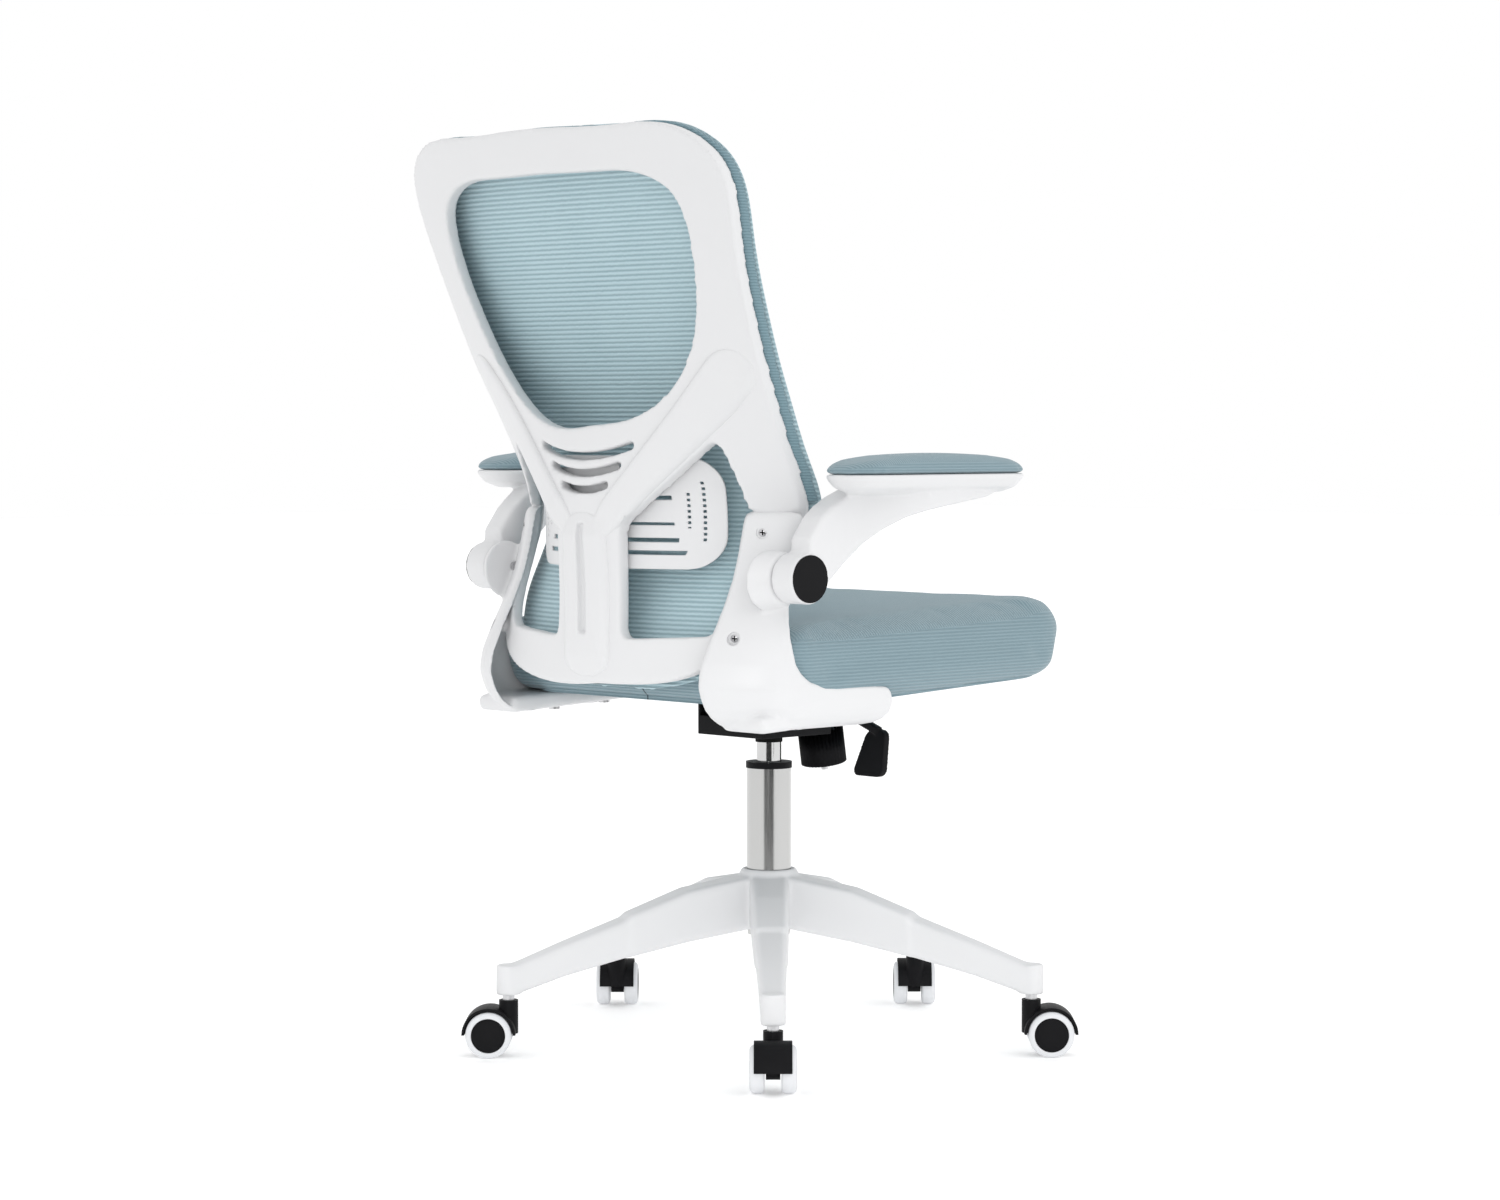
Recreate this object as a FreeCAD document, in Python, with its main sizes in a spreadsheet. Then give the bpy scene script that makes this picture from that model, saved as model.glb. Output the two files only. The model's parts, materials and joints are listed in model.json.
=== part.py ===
"""Mesh-back task chair on a five-leg caster base.

Frame: millimetres, +Z up, the sitter faces -Y and their right hand is at -X.
Origin: on the floor, on the axis of the gas lift.
"""
import FreeCAD, Part
import math
import os
import re
import Sketcher
from FreeCAD import Placement, Rotation, Vector

CASTERS = 5
BALLS = 8

SIZES = {
    # Clearances shared by all pieces
    "running_clearance": 0.05,
    "face_gap": 0.3,
    # Five-leg base
    "caster_circle": 302,
    "first_leg_angle": 136.8,
    "hub_radius": 34,
    "hub_top": 195,
    "hub_bottom": 130,
    "leg_root_width": 44,
    "leg_root_top": 190,
    "leg_root_bottom": 132,
    "leg_tip_width": 26,
    "leg_tip_top": 100,
    "leg_tip_bottom": 68,
    "post_radius": 13.5,
    "socket_depth": 27,
    # Casters
    "wheel_radius": 25.25,
    "wheel_width": 16,
    "wheel_inner_face": 9.5,
    "wheel_disc_radius": 18.5,
    "wheel_bore_depth": 12,
    "axle_radius": 3.5,
    "caster_trail": 21,
    "hood_width": 40,
    "hood_wall": 3,
    "hood_clearance": 1.2,
    "hood_web": 15,
    "hood_axle_boss": 11,
    "stem_housing_radius": 10.5,
    "stem_housing_top": 62,
    "stem_radius": 5.5,
    "stem_collar_radius": 6.5,
    "stem_seat": 36,
    "heading_1": 135.9,
    "heading_2": 225.9,
    "heading_3": 315.9,
    "heading_4": 315.9,
    "heading_5": 45.9,
    # Gas lift
    "tube_radius": 25,
    "tube_wall": 2,
    "tube_bottom": 122,
    "tube_top": 309,
    "tube_floor": 3,
    "tube_foot_radius": 23.8,
    "bush_length": 58,
    "bush_collar_radius": 25.8,
    "bush_collar_height": 7,
    "lift_radius": 14,
    "lift_bottom": 146,
    "lift_top": 375,
    "lift_taper_radius": 13.2,
    "lift_bore_radius": 11,
    "lift_end_thickness": 6,
    "lift_head_thickness": 14,
    "rod_radius": 5,
    "rod_tail": 5,
    "rod_shoulder_radius": 8,
    "rod_shoulder_height": 4,
    "piston_height": 10,
    "piston_gap": 14,
    "clip_thickness": 2,
    "clip_radius": 9,
    "clip_groove": 1,
    "race_inner": 6,
    "race_outer": 13,
    "race_thickness": 2.5,
    "ball_radius": 2.45,
    "bumper_radius": 15.2,
    "bumper_height": 9,
    "valve_pin_radius": 3,
    # Tilt mechanism
    "housing_bottom": 347,
    "housing_half_width": 52,
    "housing_wall": 3,
    "housing_front": 46,
    "housing_rear": 60,
    "housing_top": 389,
    "housing_hub_radius": 18,
    "pivot_y": 28,
    "pivot_z": 372,
    "pivot_radius": 5,
    "pivot_head": 3,
    "cheek_gap": 3.5,
    "cheek_half_length": 22,
    "cheek_below_pivot": 12,
    "seat_level": 403,
    "seat_pitch": 2.7,
    "plate_thickness": 3,
    "plate_half_width": 80,
    "plate_front": 135,
    "plate_rear": 115,
    "knob_y": -84,
    "knob_z": 329,
    "knob_tilt": 9,
    "knob_radius": 26,
    "knob_height": 40,
    "knob_wall": 3,
    "knob_floor": 4,
    "tongue_height": 52,
    "tongue_thickness": 4,
    "tongue_front": 38,
    "tongue_rear": 46,
    "tongue_hole": 12,
    "bolt_radius": 4,
    "bolt_head_radius": 7,
    "bolt_head_height": 5,
    "bolt_top": 74.2,
    "bolt_tail": 8,
    "spring_radius": 15.5,
    "spring_wire": 4.4,
    "spring_turns": 6,
    "lever_z": 380,
    "lever_droop": 6.85,
    "lever_radius": 4,
    "lever_inner": 16,
    "lever_outer": 140,
    "lever_hole_clearance": 0.6,
    "paddle_slope": 55,
    "paddle_length": 62,
    "paddle_root_width": 24,
    "paddle_tip_width": 38,
    "paddle_thickness": 9,
    # Seat
    "seat_half_width": 245,
    "seat_front": 258,
    "seat_rear": 205,
    "seat_corner": 92,
    "seat_side_height": 84,
    "seat_crown": 14,
    "seat_tuck": 15,
    "seat_tuck_height": 14,
    "board_thickness": 12,
    "board_inset": 22,
    "seat_bolt_x": 64,
    "seat_bolt_front": 110,
    "seat_bolt_rear": 95,
    "seat_bolt_radius": 3,
    "seat_bolt_head": 6.5,
    "seat_bolt_head_height": 4,
    "seat_bolt_length": 13,
    # Side brackets
    "bracket_top": 603,
    "bracket_bottom": 376,
    "bracket_thickness": 10,
    "bracket_inner_x": 175,
    "bracket_outer_x": 229,
    "bracket_lean": 0.3675,
    "screw_x": 194.5,
    "screw_y": 239.6,
    "screw_low_z": 471,
    "screw_high_z": 580.1,
    "screw_turn": 30,
    "bracket_corner": 46,
    "boot_front": 182,
    "boot_top": 492,
    "boot_foot": 414,
    "boot_inner_x": 219,
    "boot_outer_x": 238,
    "boot_bend": 22,
    "boot_wall": 5,
    "fairing_radius": 42,
    "fairing_length": 17,
    "foot_inner_x": 165,
    "foot_outer_x": 240,
    "foot_lip": 8,
    "foot_front": 48,
    "foot_thickness": 20,
    "foot_lip_height": 13,
    "foot_bolt_x": 195,
    "foot_bolt_front": 75,
    "foot_bolt_rear": 150,
    "back_screw_radius": 3,
    "back_screw_head": 6,
    "back_screw_head_height": 3,
    "back_screw_length": 20,
    "back_boss_radius": 9,
    # Flip-up arms
    "arm_axis_y": 195.3,
    "arm_axis_z": 533.7,
    "arm_boss_radius": 26.5,
    "arm_seam_x": 231,
    "arm_end_x": 264.3,
    "arm_cap_radius": 24.7,
    "arm_cap_thickness": 3,
    "arm_pin_radius": 6,
    "arm_pin_inner_x": 206,
    "arm_pin_outer_x": 256,
    "pad_x": 283,
    "pad_y": 43,
    "pad_base_z": 641,
    "pad_length": 266,
    "pad_width": 78,
    "pad_height": 22,
    "tray_depth": 20,
    "arm_thickness": 30,
    "pad_screw_radius": 2.5,
    "pad_screw_length": 14,
    "pad_screw_spacing": 90,
    # Backrest
    "back_bottom": 414,
    "back_top": 1004,
    "back_thickness": 16,
    "foot_z": 400,
    "hip_z": 500,
    "lumbar_z": 600,
    "waist_z": 680,
    "rib_z": 760,
    "shoulder_z": 880,
    "crown_z": 1010,
    "foot_half": 180,
    "hip_half": 200,
    "lumbar_half": 216,
    "waist_half": 220,
    "rib_half": 229,
    "shoulder_half": 243,
    "crown_half": 243,
    "foot_side_y": 250,
    "hip_side_y": 212,
    "lumbar_side_y": 160,
    "waist_side_y": 195,
    "rib_side_y": 236,
    "shoulder_side_y": 283,
    "crown_side_y": 328,
    "foot_centre_y": 272,
    "hip_centre_y": 272,
    "lumbar_centre_y": 277.6,
    "waist_centre_y": 282,
    "rib_centre_y": 291,
    "shoulder_centre_y": 322,
    "crown_centre_y": 354,
    "window_bottom": 690,
    "window_top": 955,
    "window_half": 190,
    "spine_half": 50,
    "slot_top": 676,
    "slot_pitch": 21,
    "slot_half": 74,
    "slot_step": 18,
    "slot_width": 8,
    "slot_sag": 13,
    "carrier_width": 14,
    "carrier_foot": 612,
    "carrier_thickness": 10,
    "carrier_reveal": 2,
    "mesh_thickness": 1.6,
    "mesh_pull": 55,
    "lumbar_pad_half": 160,
    "lumbar_pad_height": 120,
    "lumbar_pad_thickness": 7,
    "lumbar_pad_gap": 6,
    "lumbar_slide_half": 26,
    "lumbar_slide_gap": 0.7,
    "lumbar_slot_height": 5,
    "lumbar_slot_inner": 50,
    "lumbar_slot_outer": 112,
}

doc = FreeCAD.newDocument("task_chair")
sheet = doc.addObject("Spreadsheet::Sheet", "Sizes")
for row, (alias, number) in enumerate(SIZES.items(), start=1):
    sheet.set(f"A{row}", alias)
    sheet.set(f"B{row}", str(number))
    sheet.setAlias(f"B{row}", alias)
doc.recompute()

nodes = []
SEAT_FRAME = ("0", "seat_level", "seat_pitch")
KNOB_FRAME = ("knob_y", "knob_z", "knob_tilt")
TURNS = {
    "X": Rotation(Vector(0, 1, 0), 90),
    "Y": Rotation(Vector(1, 0, 0), -90),
    "Z": Rotation(),
}


def size(alias):
    """Number held by one cell of the sheet."""
    return float(sheet.get(alias))


def linked(text):
    """The expression with each alias written as a cell of the sheet."""
    return re.sub(
        r"[a-z_]\w*",
        lambda word: "Sizes." + word.group() if word.group() in SIZES else word.group(),
        text,
    )


def bind(item, **sizes):
    """Tie properties of an object to expressions on the sheet."""
    for name, text in sizes.items():
        item.setExpression(name, linked(text))
    return item


def place(item, x="0", y="0", z="0", frame=None):
    """Tie an object's place to the sheet; a frame is (y, z, angle by which -Y rises)."""
    if frame:
        y0, z0, angle = frame
        item.Placement = Placement(Vector(), Rotation(Vector(-1, 0, 0), 1))
        item.setExpression("Placement.Rotation.Angle", linked(angle))
        y, z = (
            f"{y0} + ({y}) * cos({angle}) + ({z}) * sin({angle})",
            f"{z0} - ({y}) * sin({angle}) + ({z}) * cos({angle})",
        )
    for axis, text in zip("xyz", (x, y, z)):
        item.setExpression("Placement.Base." + axis, linked(text))
    return item


def cylinder(radius, height, x="0", y="0", z="0", axis="Z", frame=None):
    item = doc.addObject("Part::Cylinder", "Cylinder")
    item.Placement = Placement(Vector(), TURNS[axis])
    bind(item, Radius=radius, Height=height)
    return place(item, x, y, z, frame)


def cone(low_radius, high_radius, height, z):
    item = doc.addObject("Part::Cone", "Cone")
    bind(item, Radius1=low_radius, Radius2=high_radius, Height=height)
    return place(item, z=z)


def box(length, width, height, x, y, z, frame=None):
    item = doc.addObject("Part::Box", "Box")
    bind(item, Length=length, Width=width, Height=height)
    return place(item, x, y, z, frame)


def fuse(items):
    item = doc.addObject("Part::MultiFuse", "Fuse")
    item.Shapes = items
    return item


def cut(base, tools):
    item = doc.addObject("Part::Cut", "Cut")
    item.Base = base
    item.Tool = tools[0] if len(tools) == 1 else fuse(tools)
    return item


def group(items):
    item = doc.addObject("Part::Compound", "Group")
    item.Links = items
    return item


def mirrored(source):
    item = doc.addObject("Part::Mirroring", "Mirrored")
    item.Source = source
    item.Normal = Vector(1, 0, 0)
    return item


def solid(shape, name="Form"):
    """A free-form piece, from a shape worked out from the sheet."""
    item = doc.addObject("Part::Feature", name)
    item.Shape = shape
    return item


def node(label, item):
    """Name a finished sub-part."""
    item.Label = label
    nodes.append(item)
    return item


def origin_plane(body, role):
    return next(plane for plane in body.Origin.OriginFeatures if plane.Role == role)


def profile(body, role, points):
    """A closed sketch through points given as pairs of expressions."""
    sketch = body.newObject("Sketcher::SketchObject", "Profile")
    sketch.AttachmentSupport = [(origin_plane(body, role), "")]
    sketch.MapMode = "FlatFace"
    start = [Vector(math.cos(2 * math.pi * k / len(points)), math.sin(2 * math.pi * k / len(points)), 0)
             for k in range(len(points))]
    for k, point in enumerate(start):
        sketch.addGeometry(Part.LineSegment(point, start[(k + 1) % len(points)]), False)
    for k in range(len(points)):
        sketch.addConstraint(Sketcher.Constraint("Coincident", k, 2, (k + 1) % len(points), 1))
    for k, (across, up) in enumerate(points):
        for kind, text in (("DistanceX", across), ("DistanceY", up)):
            index = sketch.addConstraint(Sketcher.Constraint(kind, -1, 1, k, 1, 1.0))
            sketch.setExpression(f"Constraints[{index}]", linked(text))
    return sketch


def turned(points, x="0", y="0", z="0", frame=None, axis="Z"):
    """A body of revolution about its own Z axis, from (radius, height) pairs."""
    body = doc.addObject("PartDesign::Body", "Turned")
    sketch = profile(body, "XZ_Plane", points)
    spin = body.newObject("PartDesign::Revolution", "Spin")
    spin.Profile = sketch
    spin.ReferenceAxis = (sketch, ["V_Axis"])
    spin.Angle = 360
    sketch.Visibility = False
    body.Placement = Placement(Vector(), TURNS[axis])
    return place(body, x, y, z, frame)


def base_star():
    """Moulded hub with five tapered legs, each ending in a caster post."""
    solids = [cylinder("hub_radius", "hub_top - hub_bottom", z="hub_bottom")]
    sockets = [cone("tube_foot_radius", "tube_radius", "hub_top - tube_bottom", "tube_bottom")]
    for k in range(CASTERS):
        angle = f"(first_leg_angle + {k} * 360 / {CASTERS})"
        leg = doc.addObject("Part::Wedge", "Leg")
        bind(leg, Xmin="-leg_root_width / 2", Xmax="leg_root_width / 2", Zmin="leg_root_bottom",
             Zmax="leg_root_top", Ymin="hub_radius / 2", Ymax="caster_circle",
             X2min="-leg_tip_width / 2", X2max="leg_tip_width / 2", Z2min="leg_tip_bottom",
             Z2max="leg_tip_top")
        leg.Placement = Placement(Vector(), Rotation(Vector(0, 0, 1), 1))
        leg.setExpression("Placement.Rotation.Angle", linked(angle + " - 90"))
        x = f"caster_circle * cos({angle})"
        y = f"caster_circle * sin({angle})"
        solids += [leg, cylinder("post_radius", "leg_tip_top - leg_tip_bottom", x, y, "leg_tip_bottom")]
        sockets.append(cylinder("stem_radius + running_clearance", "socket_depth", x, y, "leg_tip_bottom"))
    node("base_star", cut(fuse(solids), sockets))


def caster_hood():
    """Fender over two wheels, with the web that holds the axle and the stem housing."""
    outer = "wheel_radius + hood_clearance + hood_wall"
    fender = cylinder(outer, "hood_width", "caster_trail", "-hood_width / 2", "wheel_radius", "Y")
    below = box(f"2 * ({outer})", "hood_width", outer, f"caster_trail - ({outer})", "-hood_width / 2",
                f"wheel_radius - ({outer})")
    boss = cylinder("hood_axle_boss", "hood_web", "caster_trail", "-hood_web / 2", "wheel_radius", "Y")
    housing = cylinder("stem_housing_radius", "stem_housing_top - wheel_radius", z="wheel_radius")
    well = "hood_width / 2 - hood_web / 2 + hood_wall"
    wells = [cylinder("wheel_radius + hood_clearance", well, "caster_trail", y, "wheel_radius", "Y")
             for y in ("hood_web / 2", f"-hood_web / 2 - ({well})")]
    bores = [cylinder("stem_radius", "stem_housing_top", z="stem_seat"),
             cylinder("axle_radius", "hood_web", "caster_trail", "-hood_web / 2", "wheel_radius", "Y")]
    return cut(fuse([cut(fender, [below]), boss, housing]), wells + bores)


def caster_pins():
    """Steel stem with its collar, and the axle that carries both wheels."""
    stem = fuse([
        cylinder("stem_radius", "leg_tip_bottom + socket_depth - face_gap - stem_seat", z="stem_seat"),
        cylinder("stem_collar_radius", "leg_tip_bottom - face_gap - stem_housing_top", z="stem_housing_top")])
    reach = "(wheel_inner_face + wheel_bore_depth - face_gap)"
    axle = cylinder("axle_radius", f"2 * {reach}", "caster_trail", f"-{reach}", "wheel_radius", "Y")
    return group([stem, axle])


def caster_wheel(side):
    """Wheel with its soft tread and the domed disc that closes its outer face."""
    bore = "axle_radius + running_clearance"
    wheel = turned([
        ("0", "wheel_bore_depth"), (bore, "wheel_bore_depth"), (bore, "0"),
        ("wheel_radius - 2", "0"), ("wheel_radius", "2"), ("wheel_radius", "wheel_width - 3.5"),
        ("wheel_radius - 3.5", "wheel_width"), ("wheel_disc_radius + 0.8", "wheel_width"),
        ("wheel_disc_radius + 0.2", "wheel_width - 1"), ("wheel_disc_radius - 2", "wheel_width + 0.2"),
        ("0", "wheel_width + 0.8")])
    wheel.Placement = Placement(Vector(), Rotation(Vector(1, 0, 0), -90 * side))
    return place(wheel, "caster_trail", f"{side} * wheel_inner_face", "wheel_radius")


def casters():
    """One caster, repeated on every leg and turned to its own heading."""
    pieces = {"hood": caster_hood(), "pins": caster_pins(), "wheel_a": caster_wheel(1),
              "wheel_b": caster_wheel(-1)}
    for k in range(CASTERS):
        angle = f"(first_leg_angle + {k} * 360 / {CASTERS})"
        for name, piece in pieces.items():
            copy = doc.addObject("Part::Compound", "Caster")
            copy.Links = [piece]
            copy.Placement = Placement(Vector(), Rotation(Vector(0, 0, 1), 1))
            copy.setExpression("Placement.Rotation.Angle", linked(f"heading_{k + 1}"))
            place(copy, f"caster_circle * cos({angle})", f"caster_circle * sin({angle})")
            node(f"caster_{k + 1}_{name}", copy)


def gas_lift():
    """Outer tube, guide bush, sliding cylinder, piston rod, thrust bearing, clip and valve pin."""
    inner = "tube_radius - tube_wall"
    rod_hole = "rod_radius + running_clearance"
    floor = "tube_bottom + tube_floor"
    node("lift_outer_tube", turned([
        (rod_hole, "tube_bottom"), ("tube_foot_radius", "tube_bottom"), ("tube_radius", "hub_top"),
        ("tube_radius", "tube_top"), (inner, "tube_top"), (inner, "hub_top"),
        ("tube_foot_radius - tube_wall", floor), (rod_hole, floor)]))
    bush_bore = "lift_radius + running_clearance"
    bush_low = "tube_top - bush_length"
    bush_high = "tube_top + bush_collar_height"
    node("lift_guide_bush", turned([
        (bush_bore, bush_low), (inner, bush_low), (inner, "tube_top"), ("bush_collar_radius", "tube_top"),
        ("bush_collar_radius", bush_high), (bush_bore, bush_high)]))
    bore_low = "lift_bottom + lift_end_thickness"
    bore_high = "lift_top - lift_head_thickness"
    pin_hole = "valve_pin_radius + running_clearance"
    node("lift_cylinder", turned([
        (rod_hole, "lift_bottom"), ("lift_radius", "lift_bottom"), ("lift_radius", "housing_bottom"),
        ("lift_taper_radius", "lift_top"), (pin_hole, "lift_top"), (pin_hole, bore_high),
        ("lift_bore_radius", bore_high), ("lift_bore_radius", bore_low), (rod_hole, bore_low)]))
    clip_top = "tube_bottom - face_gap"
    clip_low = "tube_bottom - face_gap - clip_thickness"
    neck = "rod_radius - clip_groove"
    races_top = f"({floor} + 2 * race_thickness + 2 * ball_radius + 2 * running_clearance)"
    shoulder = f"({races_top} + face_gap)"
    piston_low = f"({bore_high} - piston_gap - piston_height)"
    piston = "lift_bore_radius - running_clearance"
    node("lift_piston_rod", turned([
        ("0", f"{clip_low} - rod_tail"), ("rod_radius", f"{clip_low} - rod_tail"), ("rod_radius", clip_low),
        (neck, clip_low), (neck, clip_top), ("rod_radius", clip_top), ("rod_radius", shoulder),
        ("rod_shoulder_radius", shoulder), ("rod_shoulder_radius", f"{shoulder} + rod_shoulder_height"),
        ("rod_radius", f"{shoulder} + rod_shoulder_height"), ("rod_radius", piston_low),
        (piston, piston_low), (piston, f"{piston_low} + piston_height"),
        ("0", f"{piston_low} + piston_height")]))
    node("rod_clip", turned([(neck, clip_low), ("clip_radius", clip_low), ("clip_radius", clip_top),
                             (neck, clip_top)]))
    races = [turned([("race_inner", z), ("race_outer", z), ("race_outer", f"{z} + race_thickness"),
                     ("race_inner", f"{z} + race_thickness")])
             for z in (floor, f"{races_top} - race_thickness")]
    balls = []
    for k in range(BALLS):
        ball = bind(doc.addObject("Part::Sphere", "Ball"), Radius="ball_radius")
        ring = "(race_inner + race_outer) / 2"
        balls.append(place(ball, f"{ring} * cos({k} * 360 / {BALLS})", f"{ring} * sin({k} * 360 / {BALLS})",
                           f"{floor} + race_thickness + running_clearance + ball_radius"))
    node("thrust_bearing", group(races + balls))
    bumper_low = "housing_bottom - bumper_height"
    node("lift_bumper", turned([("lift_radius", bumper_low), ("bumper_radius", bumper_low),
                                ("bumper_radius", "housing_bottom"), ("lift_radius", "housing_bottom")]))
    pin_top = ("lever_z + (housing_half_width - housing_wall / 2) * tan(lever_droop)"
               " - lever_radius / cos(lever_droop) - valve_pin_radius * tan(lever_droop) - face_gap")
    node("release_pin", cylinder("valve_pin_radius", f"{pin_top} - ({bore_high} + face_gap)",
                                 z=f"{bore_high} + face_gap"))


def lever_point(reach):
    """Height of the lever's axis at a distance from the housing wall, outward positive."""
    return f"lever_z - ({reach}) * tan(lever_droop)"


def lever_cylinder(radius, inner, outer):
    """Cylinder along the drooping lever, between two distances from the column axis."""
    fulcrum = "(housing_half_width - housing_wall / 2)"
    item = doc.addObject("Part::Cylinder", "LeverRod")
    bind(item, Radius=radius, Height=f"(({outer}) - ({inner})) / cos(lever_droop)")
    item.Placement = Placement(Vector(), Rotation(Vector(0, -1, 0), 100))
    item.setExpression("Placement.Rotation.Angle", linked("90 + lever_droop"))
    return place(item, f"-({inner})", "0", lever_point(f"({inner}) - {fulcrum}"))


def tilt_housing():
    """Pressed steel channel with the taper socket, the spring tongue and the pivot holes."""
    width = "2 * housing_half_width"
    length = "housing_front + housing_rear"
    height = "housing_top - housing_bottom"
    walls = [box("housing_wall", length, height, x, "-housing_front", "housing_bottom")
             for x in ("-housing_half_width", "housing_half_width - housing_wall")]
    ends = [box(width, "housing_wall", f"({height}) / 2", "-housing_half_width", y, "housing_bottom")
            for y in ("-housing_front", "housing_rear - housing_wall")]
    floor = box(width, length, "housing_wall", "-housing_half_width", "-housing_front", "housing_bottom")
    hub = cylinder("housing_hub_radius", "lift_top - housing_bottom", z="housing_bottom")
    tongue = box(width, "tongue_front + tongue_rear", "tongue_thickness", "-housing_half_width",
                 "-tongue_front", "tongue_height", KNOB_FRAME)
    holes = [
        cone("lift_radius", "lift_taper_radius", "lift_top - housing_bottom", "housing_bottom"),
        cylinder("pivot_radius + running_clearance", width, "-housing_half_width", "pivot_y", "pivot_z", "X"),
        cylinder("tongue_hole", "3 * tongue_thickness", "0", "0", "tongue_height - tongue_thickness",
                 frame=KNOB_FRAME),
        lever_cylinder("lever_radius + lever_hole_clearance", "housing_half_width - 3 * housing_wall",
                       "housing_half_width + 2 * housing_wall")]
    node("tilt_housing", cut(fuse(walls + ends + [floor, hub, tongue]), holes))


def seat_bolt_places():
    return [(f"{side} * seat_bolt_x", y) for side in (-1, 1) for y in ("-seat_bolt_front", "seat_bolt_rear")]


def foot_bolt_places():
    return [(f"{side} * foot_bolt_x", y) for side in (-1, 1) for y in ("foot_bolt_front", "foot_bolt_rear")]


def bolt_shanks(places, low, high):
    """Cylinders of the seat bolts' size, square to the seat board."""
    return [cylinder("seat_bolt_radius", f"({high}) - ({low})", x, y, low, frame=SEAT_FRAME)
            for x, y in places]


def seat_plate():
    """Steel plate under the seat board, with two cheeks that hang on the pivot pin."""
    plate = box("2 * plate_half_width", "plate_front + plate_rear", "plate_thickness", "-plate_half_width",
                "-plate_front", "-plate_thickness", SEAT_FRAME)
    low = "pivot_z - cheek_below_pivot"
    cheeks = [box("plate_thickness", "2 * cheek_half_length",
                  f"seat_level - plate_thickness / 2 - pivot_y * tan(seat_pitch) - ({low})"
                  " - cheek_half_length * tan(seat_pitch)",
                  x, "pivot_y - cheek_half_length", low)
              for x in ("housing_half_width + cheek_gap",
                        "-housing_half_width - cheek_gap - plate_thickness")]
    reach = "(housing_half_width + cheek_gap + plate_thickness)"
    hole = cylinder("pivot_radius", f"2 * {reach}", f"-{reach}", "pivot_y", "pivot_z", "X")
    shanks = bolt_shanks(seat_bolt_places(), "-plate_thickness", "0")
    node("seat_plate", cut(fuse([plate] + cheeks), [hole] + shanks))
    shaft = cylinder("pivot_radius", f"2 * {reach}", f"-{reach}", "pivot_y", "pivot_z", "X")
    heads = [cylinder("pivot_radius + pivot_head", "pivot_head", x, "pivot_y", "pivot_z", "X")
             for x in (reach, f"-{reach} - pivot_head")]
    node("tilt_pivot_pin", fuse([shaft] + heads))


def tension_set():
    """Ribbed tension knob, its bolt hung under the seat plate, and the spring on the bolt."""
    low = "-knob_height / 2"
    high = "knob_height / 2"
    bore = "bolt_radius + running_clearance"
    cup = turned([
        (bore, low), ("knob_radius - 2", low), ("knob_radius", f"{low} + 2"), ("knob_radius", high),
        ("knob_radius - knob_wall", high), ("knob_radius - knob_wall", f"{low} + knob_floor"),
        (bore, f"{low} + knob_floor")])
    node("tension_knob", place(cup, frame=KNOB_FRAME))
    head_low = "bolt_top - bolt_head_height"
    bolt = turned([
        ("0", f"{low} - bolt_tail"), ("bolt_radius", f"{low} - bolt_tail"), ("bolt_radius", head_low),
        ("bolt_head_radius", head_low), ("bolt_head_radius", "bolt_top"), ("0", "bolt_top")])
    node("tension_bolt", place(bolt, frame=KNOB_FRAME))
    node("tension_spring", solid(spring_shape(), "Spring"))


def biarc(start, start_way, end, end_way):
    """Two tangent arcs between two points with given directions."""
    chord = end - start
    a = 2 * (1 - start_way.dot(end_way))
    b = 2 * chord.dot(start_way + end_way)
    c = -chord.dot(chord)
    reach = (-b + math.sqrt(b * b - 4 * a * c)) / (2 * a)
    first = start + start_way * reach
    second = end - end_way * reach
    middle = (first + second) * 0.5
    arcs = []
    for low, corner, high in ((start, first, middle), (middle, second, end)):
        base = (low + high) * 0.5
        half = (high - low).Length / 2
        rise = corner - base
        bow = half * math.tan(math.atan2(rise.Length, half) / 2)
        arcs.append(Part.Arc(low, base + rise.normalize() * bow, high).toShape())
    return arcs


def spring_shape():
    """Round-wire coil between the knob's floor and the tongue, in the knob's tilted frame."""
    wire = size("spring_wire")
    radius = size("spring_radius")
    turns = int(size("spring_turns"))
    low = -size("knob_height") / 2 + size("knob_floor") + wire / 2 + size("face_gap")
    high = size("tongue_height") - wire / 2 - size("face_gap")
    rise = (high - low) / (2 * math.pi * turns)
    angles = [math.pi / 2 * k for k in range(4 * turns + 1)]
    points = [Vector(radius * math.cos(t), radius * math.sin(t), low + rise * t) for t in angles]
    ways = [Vector(-radius * math.sin(t), radius * math.cos(t), rise).normalize() for t in angles]
    edges = []
    for k in range(4 * turns):
        edges += biarc(points[k], ways[k], points[k + 1], ways[k + 1])
    section = Part.Wire(Part.makeCircle(wire / 2, points[0], ways[0]))
    coil = Part.Wire(edges).makePipeShell([section], True, False)
    print("tension spring: least gap to itself", round(2 * math.pi * rise - wire, 2), "mm")
    coil.Placement = Placement(Vector(0, size("knob_y"), size("knob_z")),
                               Rotation(Vector(-1, 0, 0), size("knob_tilt")))
    return coil


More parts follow.
